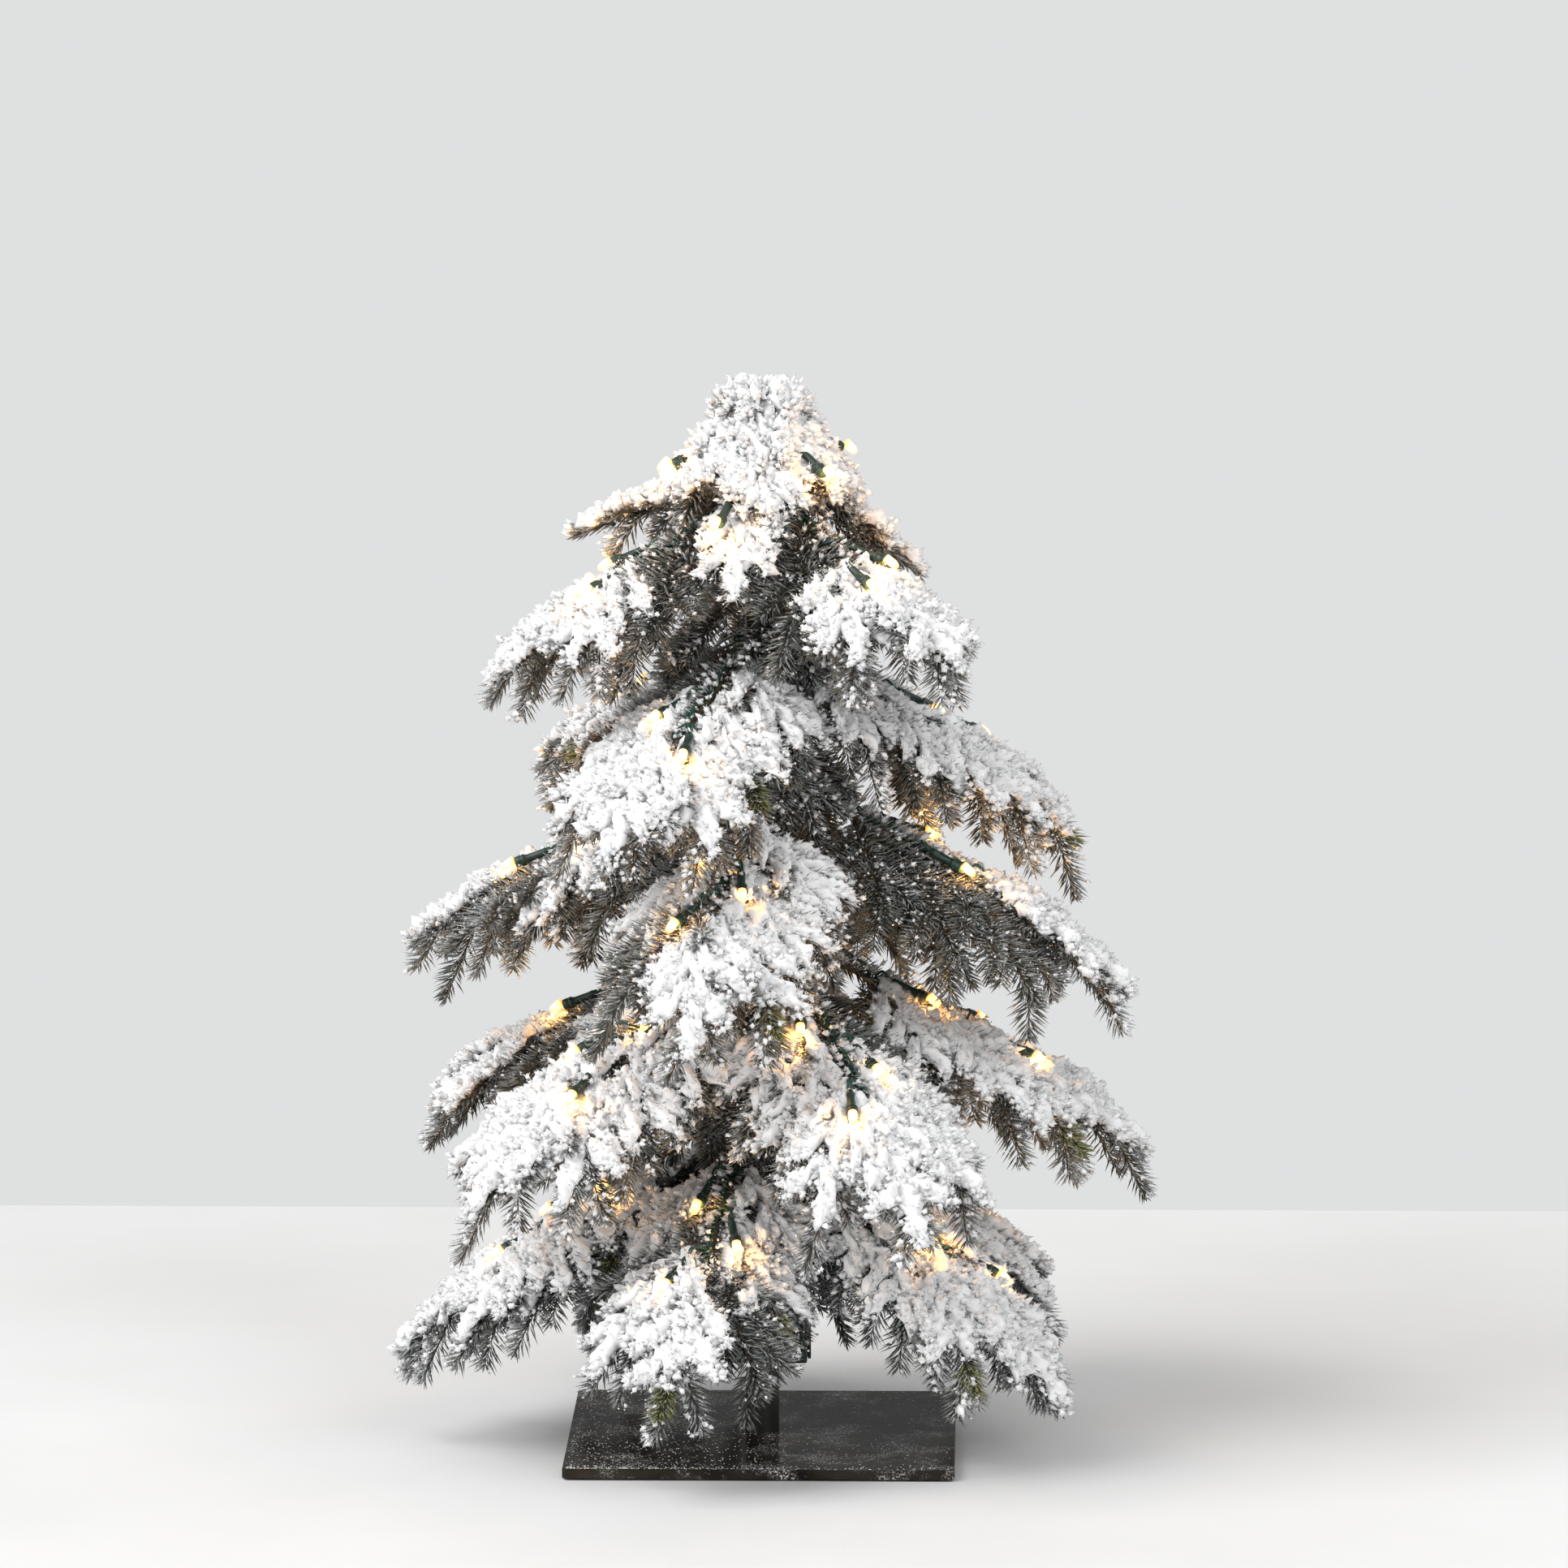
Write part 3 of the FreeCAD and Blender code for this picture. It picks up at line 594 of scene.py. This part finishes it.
# ---------------------------------------------------------------- sprigs
def up_and_side(heading):
    """The upper side of a shoot, and the direction across it."""
    up = UP - (UP @ heading) * heading
    up = unit(up) if np.linalg.norm(up) > 0.05 else np.array([0.0, -1.0, 0.0])
    return up, np.cross(heading, up)


class Greenery:
    """The needles, twigs and flock of one body, as two heaps."""

    def __init__(self, name):
        self.random = seeded(name)
        self.needles = Heap()
        self.flock = Heap()

    def clumps(self, centres, radii, outward, grain):
        """Lumps of flock: an uneven core drawn out along the needle that it sits on, with fine spikes."""
        n = len(centres)
        if not n:
            return
        r = self.random
        axes = frames(unit(grain + r.normal(0, 0.25, (n, 3))), r.normal(size=(n, 3)))
        stretch = np.stack([r.uniform(1.3, 2.3, n), r.uniform(0.8, 1.15, n), r.uniform(0.8, 1.15, n)], axis=1)
        cores = GRAIN_POINTS[None] * r.uniform(0.75, 1.2, (n, 6, 1)) * (stretch * radii[:, None])[:, None]
        self.flock.stamp(turned(cores, axes, centres), GRAIN_FACES)
        k = SPIKES_PER_CLUMP
        way = unit(0.8 * r.normal(size=(n, k, 3)) + 0.6 * outward[:, None] + 0.8 * grain[:, None])
        foot = (centres[:, None] + way * radii[:, None, None] * 0.55).reshape(-1, 3)
        way = way.reshape(-1, 3)
        length = np.repeat(radii, k) * r.uniform(0.8, 1.5, n * k)
        width = r.uniform(0.40, 0.75, n * k) * MM * (0.6 + 0.4 * np.repeat(radii, k) / CLUMP_R)
        scale = np.stack([length, width, width], axis=1)
        axes = frames(way, r.normal(size=(n * k, 3)))
        self.flock.stamp(placed(SPIKE_POINTS, scale, axes, foot), SPIKE_FACES)

    def mat(self, at, first, last, up, side, heading, sky, snow, reach):
        """A lumpy crust of flock that lies over the upper needles of a shoot, n rows of m lumps."""
        r = self.random
        n = max(int((last - first) / MAT_STEP), 4)
        m = MAT_COLUMNS
        t = np.linspace(first, last, n)
        turn = math.atan2(sky @ side, sky @ up)
        half = np.radians(32 + 44 * snow) * (0.75 + 0.25 * np.sin(t / (4.1 * MM) + r.uniform(0, 6)))
        half = half * np.clip((last - t) / (9 * MM) + 0.3, 0, 1)
        half = half * np.clip((t - first) / (12 * MM) + 0.35, 0, 1)
        half = half * r.uniform(0.85, 1.15, n)
        angle = turn + np.linspace(-1, 1, m)[None] * half[:, None]
        edge = 1 - np.linspace(-1, 1, m)[None] ** 2
        middle = reach * (MAT_REACH + 0.12 * np.sin(angle * 5 + t[:, None] / (3.3 * MM)))
        middle = middle * np.clip((last - t) / (10 * MM) + 0.25, 0, 1)[:, None]
        thick = (0.5 + 2.8 * snow) * MM * (0.25 + edge) * r.uniform(0.3, 1.7, (n, m))
        radial = np.cos(angle)[..., None] * up + np.sin(angle)[..., None] * side
        spine = at(t)[:, None]
        forward = heading * 0.35 * (middle * edge)[..., None]
        outer = spine + radial * (middle + thick)[..., None] + forward
        inner = spine + radial * (middle - thick * 0.4)[..., None] + forward
        shell = np.concatenate([outer, inner[:, ::-1]], axis=1)
        k = 2 * m
        i, j = np.meshgrid(np.arange(n - 1), np.arange(k), indexing="ij")
        a, b = (i * k + j).ravel(), (i * k + (j + 1) % k).ravel()
        faces = np.concatenate([np.stack([a, b, a + k], 1), np.stack([b, b + k, a + k], 1)])
        row = np.arange(m - 1)
        for base, flip in ((0, False), ((n - 1) * k, True)):
            one = np.stack([base + row, base + k - 1 - row, base + row + 1], 1)
            two = np.stack([base + row + 1, base + k - 1 - row, base + k - 2 - row], 1)
            both = np.concatenate([one, two])
            faces = np.concatenate([faces, both[:, ::-1] if flip else both])
        self.flock.add(shell.reshape(-1, 3), faces)

    def grains(self, centres, radii):
        """Single grains of flock."""
        n = len(centres)
        r = self.random
        shapes = GRAIN_POINTS[None] * r.uniform(0.5, 1.35, (n, 6, 1)) * radii[:, None, None]
        axes = frames(unit(r.normal(size=(n, 3))), r.normal(size=(n, 3)))
        self.flock.stamp(turned(shapes, axes, centres), GRAIN_FACES)

    def shoot(self, start, heading, length, snow, bare=0.0, sag=TWIG_SAG, first=3 * MM, thick=TWIG_R,
              needle=1.0):
        """A twig with its needles and flock.

        snow is how heavily it is flocked and bare the share of it, at its end, that isn't. first is where its
        needles begin, thick its radius, and needle the length of its needles against NEEDLE_LENGTH.
        """
        r = self.random
        up, side = up_and_side(heading)
        drift = r.uniform(-0.05, 0.05)

        def at(t):
            bow = (t / length) ** 2 * length
            return start + np.outer(t, heading) - np.outer(bow * sag, up) + np.outer(bow * drift, side)

        spine = at(np.linspace(0, length, TWIG_RINGS))
        tube(self.needles, spine, np.linspace(thick, 0.45 * thick, TWIG_RINGS), 5, 0.2, kind=1)
        stations = np.arange(first, length + 1e-9, NEEDLE_STEP)
        rows = (np.arange(NEEDLE_ROWS) - (NEEDLE_ROWS - 1) / 2) * (NEEDLE_ARC / NEEDLE_ROWS)
        t, angle = [a.ravel() for a in np.meshgrid(stations, np.radians(rows), indexing="ij")]
        t = np.clip(t + r.uniform(-1, 1, len(t)) * 0.9 * MM, 0, length)
        angle = angle + r.normal(0, 0.17, len(t))
        share = t / length
        lean = np.radians(60 - 26 * share ** 2) + r.normal(0, 0.10, len(t))
        radial = np.outer(np.cos(angle), up) + np.outer(np.sin(angle), side)
        way = np.cos(lean)[:, None] * heading + np.sin(lean)[:, None] * radial
        size = NEEDLE_LENGTH * needle * (0.80 + 0.28 * np.sin(math.pi * share ** 0.8))
        size = size * r.uniform(0.86, 1.1, len(t))
        size = size * np.clip(0.62 + (length - t) / (14 * MM), 0, 1)
        foot = at(t)
        outer = unit(np.array([foot[:, 0].mean(), foot[:, 1].mean(), 0.0]) + 1e-6)
        sky = unit(0.80 * UP + 0.60 * outer)
        cover = np.clip(0.5 + 0.9 * (radial @ sky), 0, 1)
        patch = 0.5 + 0.5 * np.sin(t / (7.5 * MM) + r.uniform(0, 6)) * np.sin(angle * 1.5 + r.uniform(0, 6))
        naked = t > length * (1 - bare)
        rime = r.uniform(0.05, 0.50)
        frost = (rime + 0.9 * snow * cover ** 1.2) * r.uniform(0.6, 1.4, len(t))
        frost = np.where(naked, 0.0, np.clip(frost, 0, 1))
        width = NEEDLE_WIDTH * r.uniform(0.85, 1.15, len(t))
        scale = np.stack([size, width, width], axis=1)
        shapes = placed(NEEDLE_POINTS, scale, frames(way, np.cross(way, radial)), foot)
        self.needles.stamp(shapes[~naked], NEEDLE_FACES, frost[~naked], 0)
        self.needles.stamp(shapes[naked], NEEDLE_FACES, frost[naked], 2)

        chance = snow ** 1.5 * np.clip(1.7 * cover - 0.75, 0, 1) * (0.40 + 0.7 * patch)
        heavy = (r.uniform(size=len(t)) < chance * 0.85) & ~naked
        reach = r.uniform(0.35, 1.0, heavy.sum())
        radii = CLUMP_R * (0.3 + 0.8 * snow * cover[heavy]) * r.uniform(0.7, 1.25, heavy.sum())
        radii = radii * (1.55 - reach)
        centres = foot[heavy] + way[heavy] * (size[heavy] * reach)[:, None] + sky * (radii * 0.45)[:, None]
        self.clumps(centres, radii, unit(radial[heavy] + sky), way[heavy])
        light = (r.uniform(size=len(t)) < snow * (0.15 + 0.6 * cover)) & ~naked & ~heavy
        reach = r.uniform(0.35, 1.05, light.sum())
        centres = foot[light] + way[light] * (size[light] * reach)[:, None]
        self.grains(centres, r.uniform(0.35, 0.85, light.sum()) * MM)
        if snow > MAT_SNOW:
            self.mat(at, first, length * (1 - bare), up, side, heading, sky, snow, NEEDLE_LENGTH * needle)

    def sprig(self, spindle, snow, bare=0.0, spread=FORK_SPREAD, hanging=len(HANGING_SHOOTS)):
        """A fan: one long shoot, shorter ones that fork from it to both sides, and a few that hang down."""
        r = self.random
        heading, length = spindle.heading, spindle.length
        up, side = up_and_side(heading)

        def foot_at(share):
            return spindle.start + heading * (length * share) - up * (length * share ** 2 * TWIG_SAG)

        self.shoot(spindle.start, heading, length, snow, bare=bare)
        for number in range(FORKS):
            for hand in (-1, 1):
                share = (0.14 + 0.60 * number / FORKS) + r.uniform(-0.04, 0.04)
                fork = math.radians(r.uniform(34, 48))
                way = math.cos(fork) * heading + hand * math.sin(fork) * side + r.uniform(-0.10, 0.14) * up
                reach = spread * (1.0 - 0.28 * number / FORKS) * r.uniform(0.85, 1.12)
                reach = min(reach, length * (1 - share))
                self.shoot(foot_at(share), unit(way), reach, snow, **SIDE_SHOOT)
        for share, hand in HANGING_SHOOTS[:hanging]:
            tilt = math.radians(r.uniform(28, 66))
            down = unit(-UP + hand * r.uniform(0.25, 0.65) * side)
            way = unit(math.cos(tilt) * heading + math.sin(tilt) * down)
            foot = foot_at(share)
            reach = spread * r.uniform(0.80, 1.30) * (1.10 - 0.35 * share)
            reach = min(reach, (foot[2] - LOWEST_TIP) / max(-way[2], 0.1))
            frosting = min(snow * r.uniform(0.40, 1.0), 0.60)
            self.shoot(foot, way, reach, frosting, **SIDE_SHOOT)

    def pieces(self, name, body, replaces, lenses=()):
        self.needles.make_room(lenses, NEEDLE_ROOM)
        self.flock.make_room(lenses, FLOCK_ROOM)
        self.needles.piece(f"needles_{name}", body, (needles, twig, bare_needles), "needles", replaces)
        self.flock.piece(f"flock_{name}", body, (flock,), "flock")


class Branch:
    """What the light string needs to know of a branch."""

    def __init__(self, name, knuckle, elbow, end, green):
        self.name, self.knuckle, self.elbow, self.end, self.green = name, knuckle, elbow, end, green
        self.along = unit(end - elbow)
        self.side = unit(np.cross(UP, self.along))
        self.lift = np.cross(self.along, self.side)
        self.lenses = []


def grow_branch(name):
    """The stem of a branch and the sprigs along it, the outermost of them first."""
    body = f"branch_{name}"
    knuckle = np.array(joints[body]["pos_m"])
    out = unit(np.array([knuckle[0], knuckle[1], 0.0]))
    elbow = knuckle + (out * math.cos(SHOULDER_RISE) + UP * math.sin(SHOULDER_RISE)) * SHOULDER
    stem, *fans = sorted(solids_of(body), key=lambda points: np.linalg.norm(points - knuckle, axis=1).min())
    far = unit(stem[np.argmax(np.linalg.norm(stem - knuckle, axis=1))] - elbow)
    reach = stem @ far
    end = stem[reach > reach.max() - 0.4 * MM].mean(0)
    along = unit(end - elbow)
    length = np.linalg.norm(end - elbow)
    green = Greenery(body)
    shoulder = [knuckle, (knuckle + elbow) / 2, elbow * 0.92 + knuckle * 0.08, elbow + along * 2 * MM]
    tube(green.needles, np.vstack([shoulder, end[None]]), STEM_R, 8, 0.1, kind=1)
    green.shoot(elbow + along * 6 * MM, along, length - 6 * MM, 0.6, sag=0.0, thick=STEM_R, first=2 * MM)
    spindles = [Spindle(points, from_point(knuckle)) for points in fans]
    spindles.sort(key=lambda s: np.linalg.norm(s.start - knuckle))
    for number, spindle in enumerate(reversed(spindles)):
        inward = number / len(spindles)
        thin = number > 0 and green.random.uniform() < 0.08 + 0.26 * inward
        snow = 0.25 if thin else 1.0 - 0.42 * inward
        bare = 0.22 if green.random.uniform() < 0.10 else 0.0
        green.sprig(spindle, snow, bare)
    return Branch(name, knuckle, elbow, end, green)


def grow_ring(node, snow, spread):
    """The sprigs of a node that stand all round the pole."""
    green = Greenery(node)
    for points in solids_of(node):
        spindle = Spindle(points, from_pole)
        if spindle.radius < BARE_TWIG_R:
            tube(green.needles, [spindle.start, spindle.end], TWIG_R, 6, 0.1, kind=1)
        elif spindle.length < CROWN_CORE:
            grow_crown(green, points[:, 2].max())
        else:
            green.sprig(spindle, snow, spread=spread, hanging=RING_HANGING)
    return green


def grow_crown(green, top):
    """The whorls of short shoots that make the rounded crown."""
    r = green.random
    for height, dip, length, count in CROWN_WHORLS:
        for number in range(count):
            azimuth = 2 * math.pi * (number + height * 0.06) / count + r.uniform(-0.1, 0.1)
            tilt = math.radians(dip + r.uniform(-6, 6))
            out = np.array([math.cos(azimuth), math.sin(azimuth), 0.0])
            heading = math.cos(tilt) * out - math.sin(tilt) * UP
            start = np.array([0.0, 0.0, top - height * MM]) + out * (4 if dip > 0 else 1) * MM
            reach = length * MM * r.uniform(0.9, 1.1)
            green.shoot(start, heading, reach, 1.0, sag=0.42, first=MM, needle=0.85)


branches = [grow_branch(name) for name in branch_names]
tuft = grow_ring("top_tuft", 0.93, TUFT_SPREAD)
fillers = grow_ring("trunk_filler_sprigs", 0.45, FILLER_SPREAD)


# ---------------------------------------------------------------- light string
def spline(points, per_span=6):
    """A smooth line through the points (Catmull-Rom)."""
    points = np.asarray(points, float)
    padded = np.vstack([2 * points[0] - points[1], points, 2 * points[-1] - points[-2]])
    share = np.linspace(0, 1, per_span, endpoint=False)[:, None]
    line = []
    for a, b, c, d in zip(padded, padded[1:], padded[2:], padded[3:]):
        line.append(0.5 * (2 * b + (c - a) * share + (2 * a - 5 * b + 4 * c - d) * share ** 2
                           + (3 * b - a - 3 * c + d) * share ** 3))
    return np.vstack([*line, points[-1:]])


# (distance, radius) pairs in mm
HOLDER_PROFILE = np.array([
    (0.0, 1.2), (0.25, 1.9), (0.8, 2.15), (3.0, 2.2), (3.3, 2.4), (4.0, 2.4), (4.3, 2.2), (14.0, 2.4),
    (15.6, 2.9), (16.3, 3.45), (17.2, 3.5), (17.5, 3.3), (18.2, 3.3), (18.5, 3.5), (21.2, 3.4), (21.8, 3.1),
    (22.0, 2.6)])
BULB_PROFILE = np.array([
    (0.0, 2.2), (0.1, 2.5), (1.5, 2.55), (4.5, 2.45), (6.5, 2.3), (7.8, 1.85), (8.6, 1.1), (8.95, 0.4),
    (9.0, 0.05)])
BULB_GLOW = (0.0, 0.15, 0.75, 1.0, 0.9, 0.6, 0.45, 0.35, 0.3)


def add_lamp(lights, bulbs, holder, lens, body):
    lathe(lights, holder.start, holder.heading, HOLDER_PROFILE * MM, HOLDER_SIDES, kind=1)
    lathe(bulbs, lens.start, lens.heading, BULB_PROFILE * MM, BULB_SIDES, BULB_GLOW)
    data = bpy.data.lights.new(f"glow_{len(bpy.data.lights)}", "POINT")
    data.energy = LAMP_POWER
    data.color = LAMP_COLOUR
    data.shadow_soft_size = 2.0 * MM
    glow = added(data.name, data)
    glow.location = lens.start + lens.heading * 5 * MM
    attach(glow, body)


def lamps_of(node, centre):
    """The (holder, lens) spindles of a lights node. The wires among its solids are drawn anew."""
    holders, lenses = [], []
    for points in solids_of(node):
        spindle = Spindle(points, from_point(centre))
        if spindle.radius < 1.0 * MM:
            continue
        if abs(spindle.length - HOLDER_LENGTH) < 0.5 * MM and spindle.radius > 3.2 * MM:
            holders.append(points)
        elif spindle.length < 12 * MM:
            lenses.append(points)
    lamps = []
    for points in holders:
        middle = points.mean(0)
        nearest = min(lenses, key=lambda p: np.linalg.norm(p.mean(0) - middle))
        lens = Spindle(nearest, from_point(middle))
        lamps.append((Spindle(points, lambda end: -np.linalg.norm(end - lens.start)), lens))
    return lamps


def loop_line(branch, sites, length, strand, phase):
    """One strand of the loop on a branch: it lies over the stem and wraps round it behind each holder."""
    line = []
    for station in np.linspace(-LOOP_BEFORE, length - LOOP_SHORT, LOOP_STATIONS):
        past = [station - site + WRAP_BACK for site in sites]
        wrap = math.exp(-(min(abs(p) for p in past) / (5 * MM)) ** 2)
        turn = phase + station / (16 * MM)
        turn = turn + 2 * math.pi * WRAP_TURNS * sum(1 / (1 + math.exp(-p / (1.6 * MM))) for p in past)
        radius = WRAP_R * wrap + (1 - wrap) * (1.0 + 0.3 * math.sin(station / (9 * MM) + strand)) * MM
        lift = (6.0 + 1.2 * math.sin(station / (14 * MM) + phase)) * MM * (1 - wrap)
        over = branch.lift * (lift + radius * math.cos(turn))
        line.append(branch.elbow + branch.along * station + over + branch.side * radius * math.sin(turn))
    return line


def dress_branch(branch):
    """The light string on a branch, with its lamps."""
    body = f"branch_{branch.name}"
    random = seeded(body + "_lights")
    lights, bulbs = Heap(), Heap()
    lamps = lamps_of(f"{body}_lights", branch.knuckle)
    for holder, lens in lamps:
        holder.start = holder.start - branch.lift * LAMP_SINK
        lens.start = lens.start - branch.lift * LAMP_SINK
    length = np.linalg.norm(branch.end - branch.elbow)
    sites = sorted(float((holder.start - branch.elbow) @ branch.along) for holder, _ in lamps)
    for strand in range(LOOP_STRANDS):
        phase = strand * math.pi + random.uniform(0, 1)
        tube(lights, loop_line(branch, sites, length, strand, phase), WIRE_R)
    for holder, lens in lamps:
        add_lamp(lights, bulbs, holder, lens, body)
        branch.lenses.append(lens)
        station = (holder.start - branch.elbow) @ branch.along - HOOK_BACK
        across = np.cross(holder.heading, branch.lift)
        for strand in (-1, 1):
            hook = branch.elbow + branch.along * station + branch.lift * HOOK_LIFT
            hook = hook + branch.side * strand * HOOK_ASIDE
            back = holder.start + across * strand * LEAD_ASIDE
            bow = back - holder.heading * 6 * MM + branch.lift * 2.5 * MM
            rise = (bow + hook) / 2 + branch.lift * 1.5 * MM
            tube(lights, spline([back + holder.heading * MM, bow, rise, hook]), WIRE_R)
    finishes = (wire_green, holder_green)
    lights.piece(f"light_wires_{branch.name}", body, finishes, "green_wire", [f"{body}_lights"])
    bulbs.piece(f"bulbs_{branch.name}", body, (bulb,), "bulb").visible_shadow = False


def dress_tuft():
    """The lamps of the top tuft, with their wires to the pole."""
    lights, bulbs = Heap(), Heap()
    centre = np.array([0.0, 0.0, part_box("top_tuft")[0].z])
    lamps = lamps_of("top_tuft_lights", centre)
    for holder, lens in lamps:
        holder.start = holder.start - holder.heading * TUFT_LAMP_SINK
        lens.start = lens.start - lens.heading * TUFT_LAMP_SINK
        add_lamp(lights, bulbs, holder, lens, "stand")
        side = unit(np.cross(UP, holder.heading))
        out = unit(holder.start * [1, 1, 0])
        pole = np.array([0.0, 0.0, holder.start[2] + TUFT_LEAD_RISE]) + out * TUFT_LEAD_R
        for strand in (-1, 1):
            back = holder.start + side * strand * LEAD_ASIDE
            bow = back - holder.heading * 8 * MM + side * strand * MM
            rise = (bow + pole) / 2 + UP * 2 * MM
            tube(lights, spline([back + holder.heading * MM, bow, rise, pole]), WIRE_R)
    lights.piece("light_wires_top", "stand", (wire_green, holder_green), "green_wire", ["top_tuft_lights"])
    bulbs.piece("bulbs_top", "stand", (bulb,), "bulb").visible_shadow = False
    tuft.pieces("top_tuft", "stand", ["top_tuft"], [lens for _, lens in lamps])


def dress_trunk():
    """The bundle of strands up the pole, and the turn that it takes round the pole at each tier."""
    lights = Heap()
    solids = solids_of("trunk_light_string")
    bundle = max(solids, key=lambda p: np.ptp(p[:, 2]))
    low, high = bundle[:, 2].min(), bundle[:, 2].max()
    below = bundle[np.abs(bundle[:, 2] - low) < 0.2 * MM].mean(0)
    above = bundle[np.abs(bundle[:, 2] - high) < 0.2 * MM].mean(0)
    heights = np.linspace(low, high, BUNDLE_STATIONS)
    share = np.clip((heights - low - 13 * MM) / (18 * MM), 0, 1)
    share = (share * share * (3 - 2 * share))[:, None]
    centres = below * (1 - share) + above * share
    for strand in range(BUNDLE_STRANDS):
        turn = heights / (9 * MM) + strand * BUNDLE_STEP
        x = centres[:, 0] + BUNDLE_R * np.cos(turn)
        y = centres[:, 1] + BUNDLE_R * np.sin(turn)
        tube(lights, np.stack([x, y, heights], axis=1), WIRE_R)
    for points in solids:
        if points is bundle:
            continue
        z = points[:, 2].mean()
        radius = np.hypot(points[:, 0], points[:, 1]).mean()
        azimuth = math.atan2(points[:, 1].mean(), points[:, 0].mean()) + math.pi
        sweep = azimuth + np.linspace(TURN_GAP, 2 * math.pi - TURN_GAP, TURN_STATIONS)
        for strand in range(LOOP_STRANDS):
            twist = sweep * TURN_TWISTS + strand * math.pi
            out = radius + TURN_TWIST_R * np.sin(twist)
            rise = z + TURN_TWIST_R * np.cos(twist)
            tube(lights, np.stack([out * np.cos(sweep), out * np.sin(sweep), rise], axis=1), WIRE_R)
    lights.piece("light_wires_trunk", "stand", (wire_green,), "green_wire", ["trunk_light_string"])


for branch in branches:
    dress_branch(branch)
    branch.green.pieces(branch.name, f"branch_{branch.name}", [f"branch_{branch.name}"], branch.lenses)
dress_tuft()
fillers.pieces("trunk_filler_sprigs", "stand", ["trunk_filler_sprigs"])
dress_trunk()


# ---------------------------------------------------------------- base
def dust_plate():
    """Grains of fallen flock on the plate, more of them to the left and along the front edge."""
    random = seeded("plate_dust")
    low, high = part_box("base_plate")
    n = DUST_GRAINS
    x = random.uniform(low.x + DUST_MARGIN, high.x - DUST_MARGIN, n)
    y = random.uniform(low.y + DUST_MARGIN, high.y - DUST_MARGIN, n)
    front = random.uniform(size=n) < DUST_AT_FRONT
    y[front] = low.y + random.exponential(DUST_FRONT_DEPTH, front.sum()) + 1.5 * MM
    keep = random.uniform(size=n) < 0.25 + 0.75 * np.clip((high.x - x) / (high.x - low.x), 0, 1) ** 2
    keep &= (y < high.y - DUST_MARGIN) & (np.hypot(x, y) > DUST_POLE_R)
    x, y = x[keep], y[keep]
    n = len(x)
    size = random.uniform(0.12, 0.55, n) ** 1.2 * 1.3 * MM
    shapes = GRAIN_POINTS[None] * random.uniform(0.5, 1.3, (n, 6, 1)) * size[:, None, None] * [1, 1, 0.5]
    turn = random.uniform(0, 2 * math.pi, n)
    axes = np.stack([np.stack([np.cos(turn), np.sin(turn), 0 * turn], 1),
                     np.stack([-np.sin(turn), np.cos(turn), 0 * turn], 1),
                     np.tile(UP, (n, 1))], axis=1)
    heap = Heap()
    place = np.stack([x, y, high.z + 0.25 * size], axis=1)
    heap.stamp(turned(shapes, axes, place), GRAIN_FACES)
    heap.piece("plate_dust", "stand", (flock,), "flock")


dust_plate()


# ---------------------------------------------------------------- stage, light and camera
def stage_box(name, low, high, finish):
    mesh = bpy.data.meshes.new(name)
    corners = [(x, y, z) for x in (low[0], high[0]) for y in (low[1], high[1]) for z in (low[2], high[2])]
    faces = [(0, 1, 3, 2), (4, 6, 7, 5), (0, 4, 5, 1), (2, 3, 7, 6), (0, 2, 6, 4), (1, 5, 7, 3)]
    mesh.from_pydata(corners, [], faces)
    mesh.materials.append(finish)
    made = added(name, mesh)


def aim(made, way):
    """Turn a light or the camera to look along a direction."""
    made.rotation_mode = "QUATERNION"
    made.rotation_quaternion = Vector(way).to_track_quat("-Z", "Y")


def area_light(name, location, target, size, power):
    data = bpy.data.lights.new(name, "AREA")
    data.energy = power
    data.size = size
    light = added(name, data)
    light.location = location
    aim(light, np.array(target) - np.array(location))


table_white = coloured("table_white", (0.67, 0.67, 0.665), (0.72, 0.72, 0.72), 3, 0.6, height=0.02)
stage_box("table", (-1.6, -1.9, -0.03), (1.6, 0.72, 0.0), table_white)
area_light("key", (-4.6, -3.0, 5.0), (0, 0, 0.25), 6.0, 590)
area_light("fill", (2.6, -3.6, 2.6), (0, 0, 0.2), 3.2, 110)

world = bpy.data.worlds.new("studio")
bpy.context.scene.world = world
world.use_nodes = True
room = world.node_tree.nodes["Background"]
room.inputs["Color"].default_value = WORLD_COLOUR
ray = world.node_tree.nodes.new("ShaderNodeLightPath")
strength = world.node_tree.nodes.new("ShaderNodeMapRange")
strength.inputs["To Min"].default_value = WORLD_LIGHT
strength.inputs["To Max"].default_value = WORLD_SEEN
world.node_tree.links.new(ray.outputs["Is Camera Ray"], strength.inputs["Value"])
world.node_tree.links.new(strength.outputs[0], room.inputs["Strength"])

camera_data = bpy.data.cameras.new("camera")
camera_data.lens = CAMERA_LENS
camera_data.sensor_width = CAMERA_SENSOR
camera = added("camera", camera_data)
level = math.cos(CAMERA_ELEVATION)
back = np.array([
    math.sin(CAMERA_AZIMUTH) * level, -math.cos(CAMERA_AZIMUTH) * level, math.sin(CAMERA_ELEVATION)])
camera.location = np.array(CAMERA_AIM) + back * CAMERA_DISTANCE
aim(camera, -back)
bpy.context.scene.camera = camera
bpy.context.scene.view_settings.view_transform = "Standard"

print("triangles", sum(totals.values()), sorted((n, name) for name, n in totals.items())[-4:])
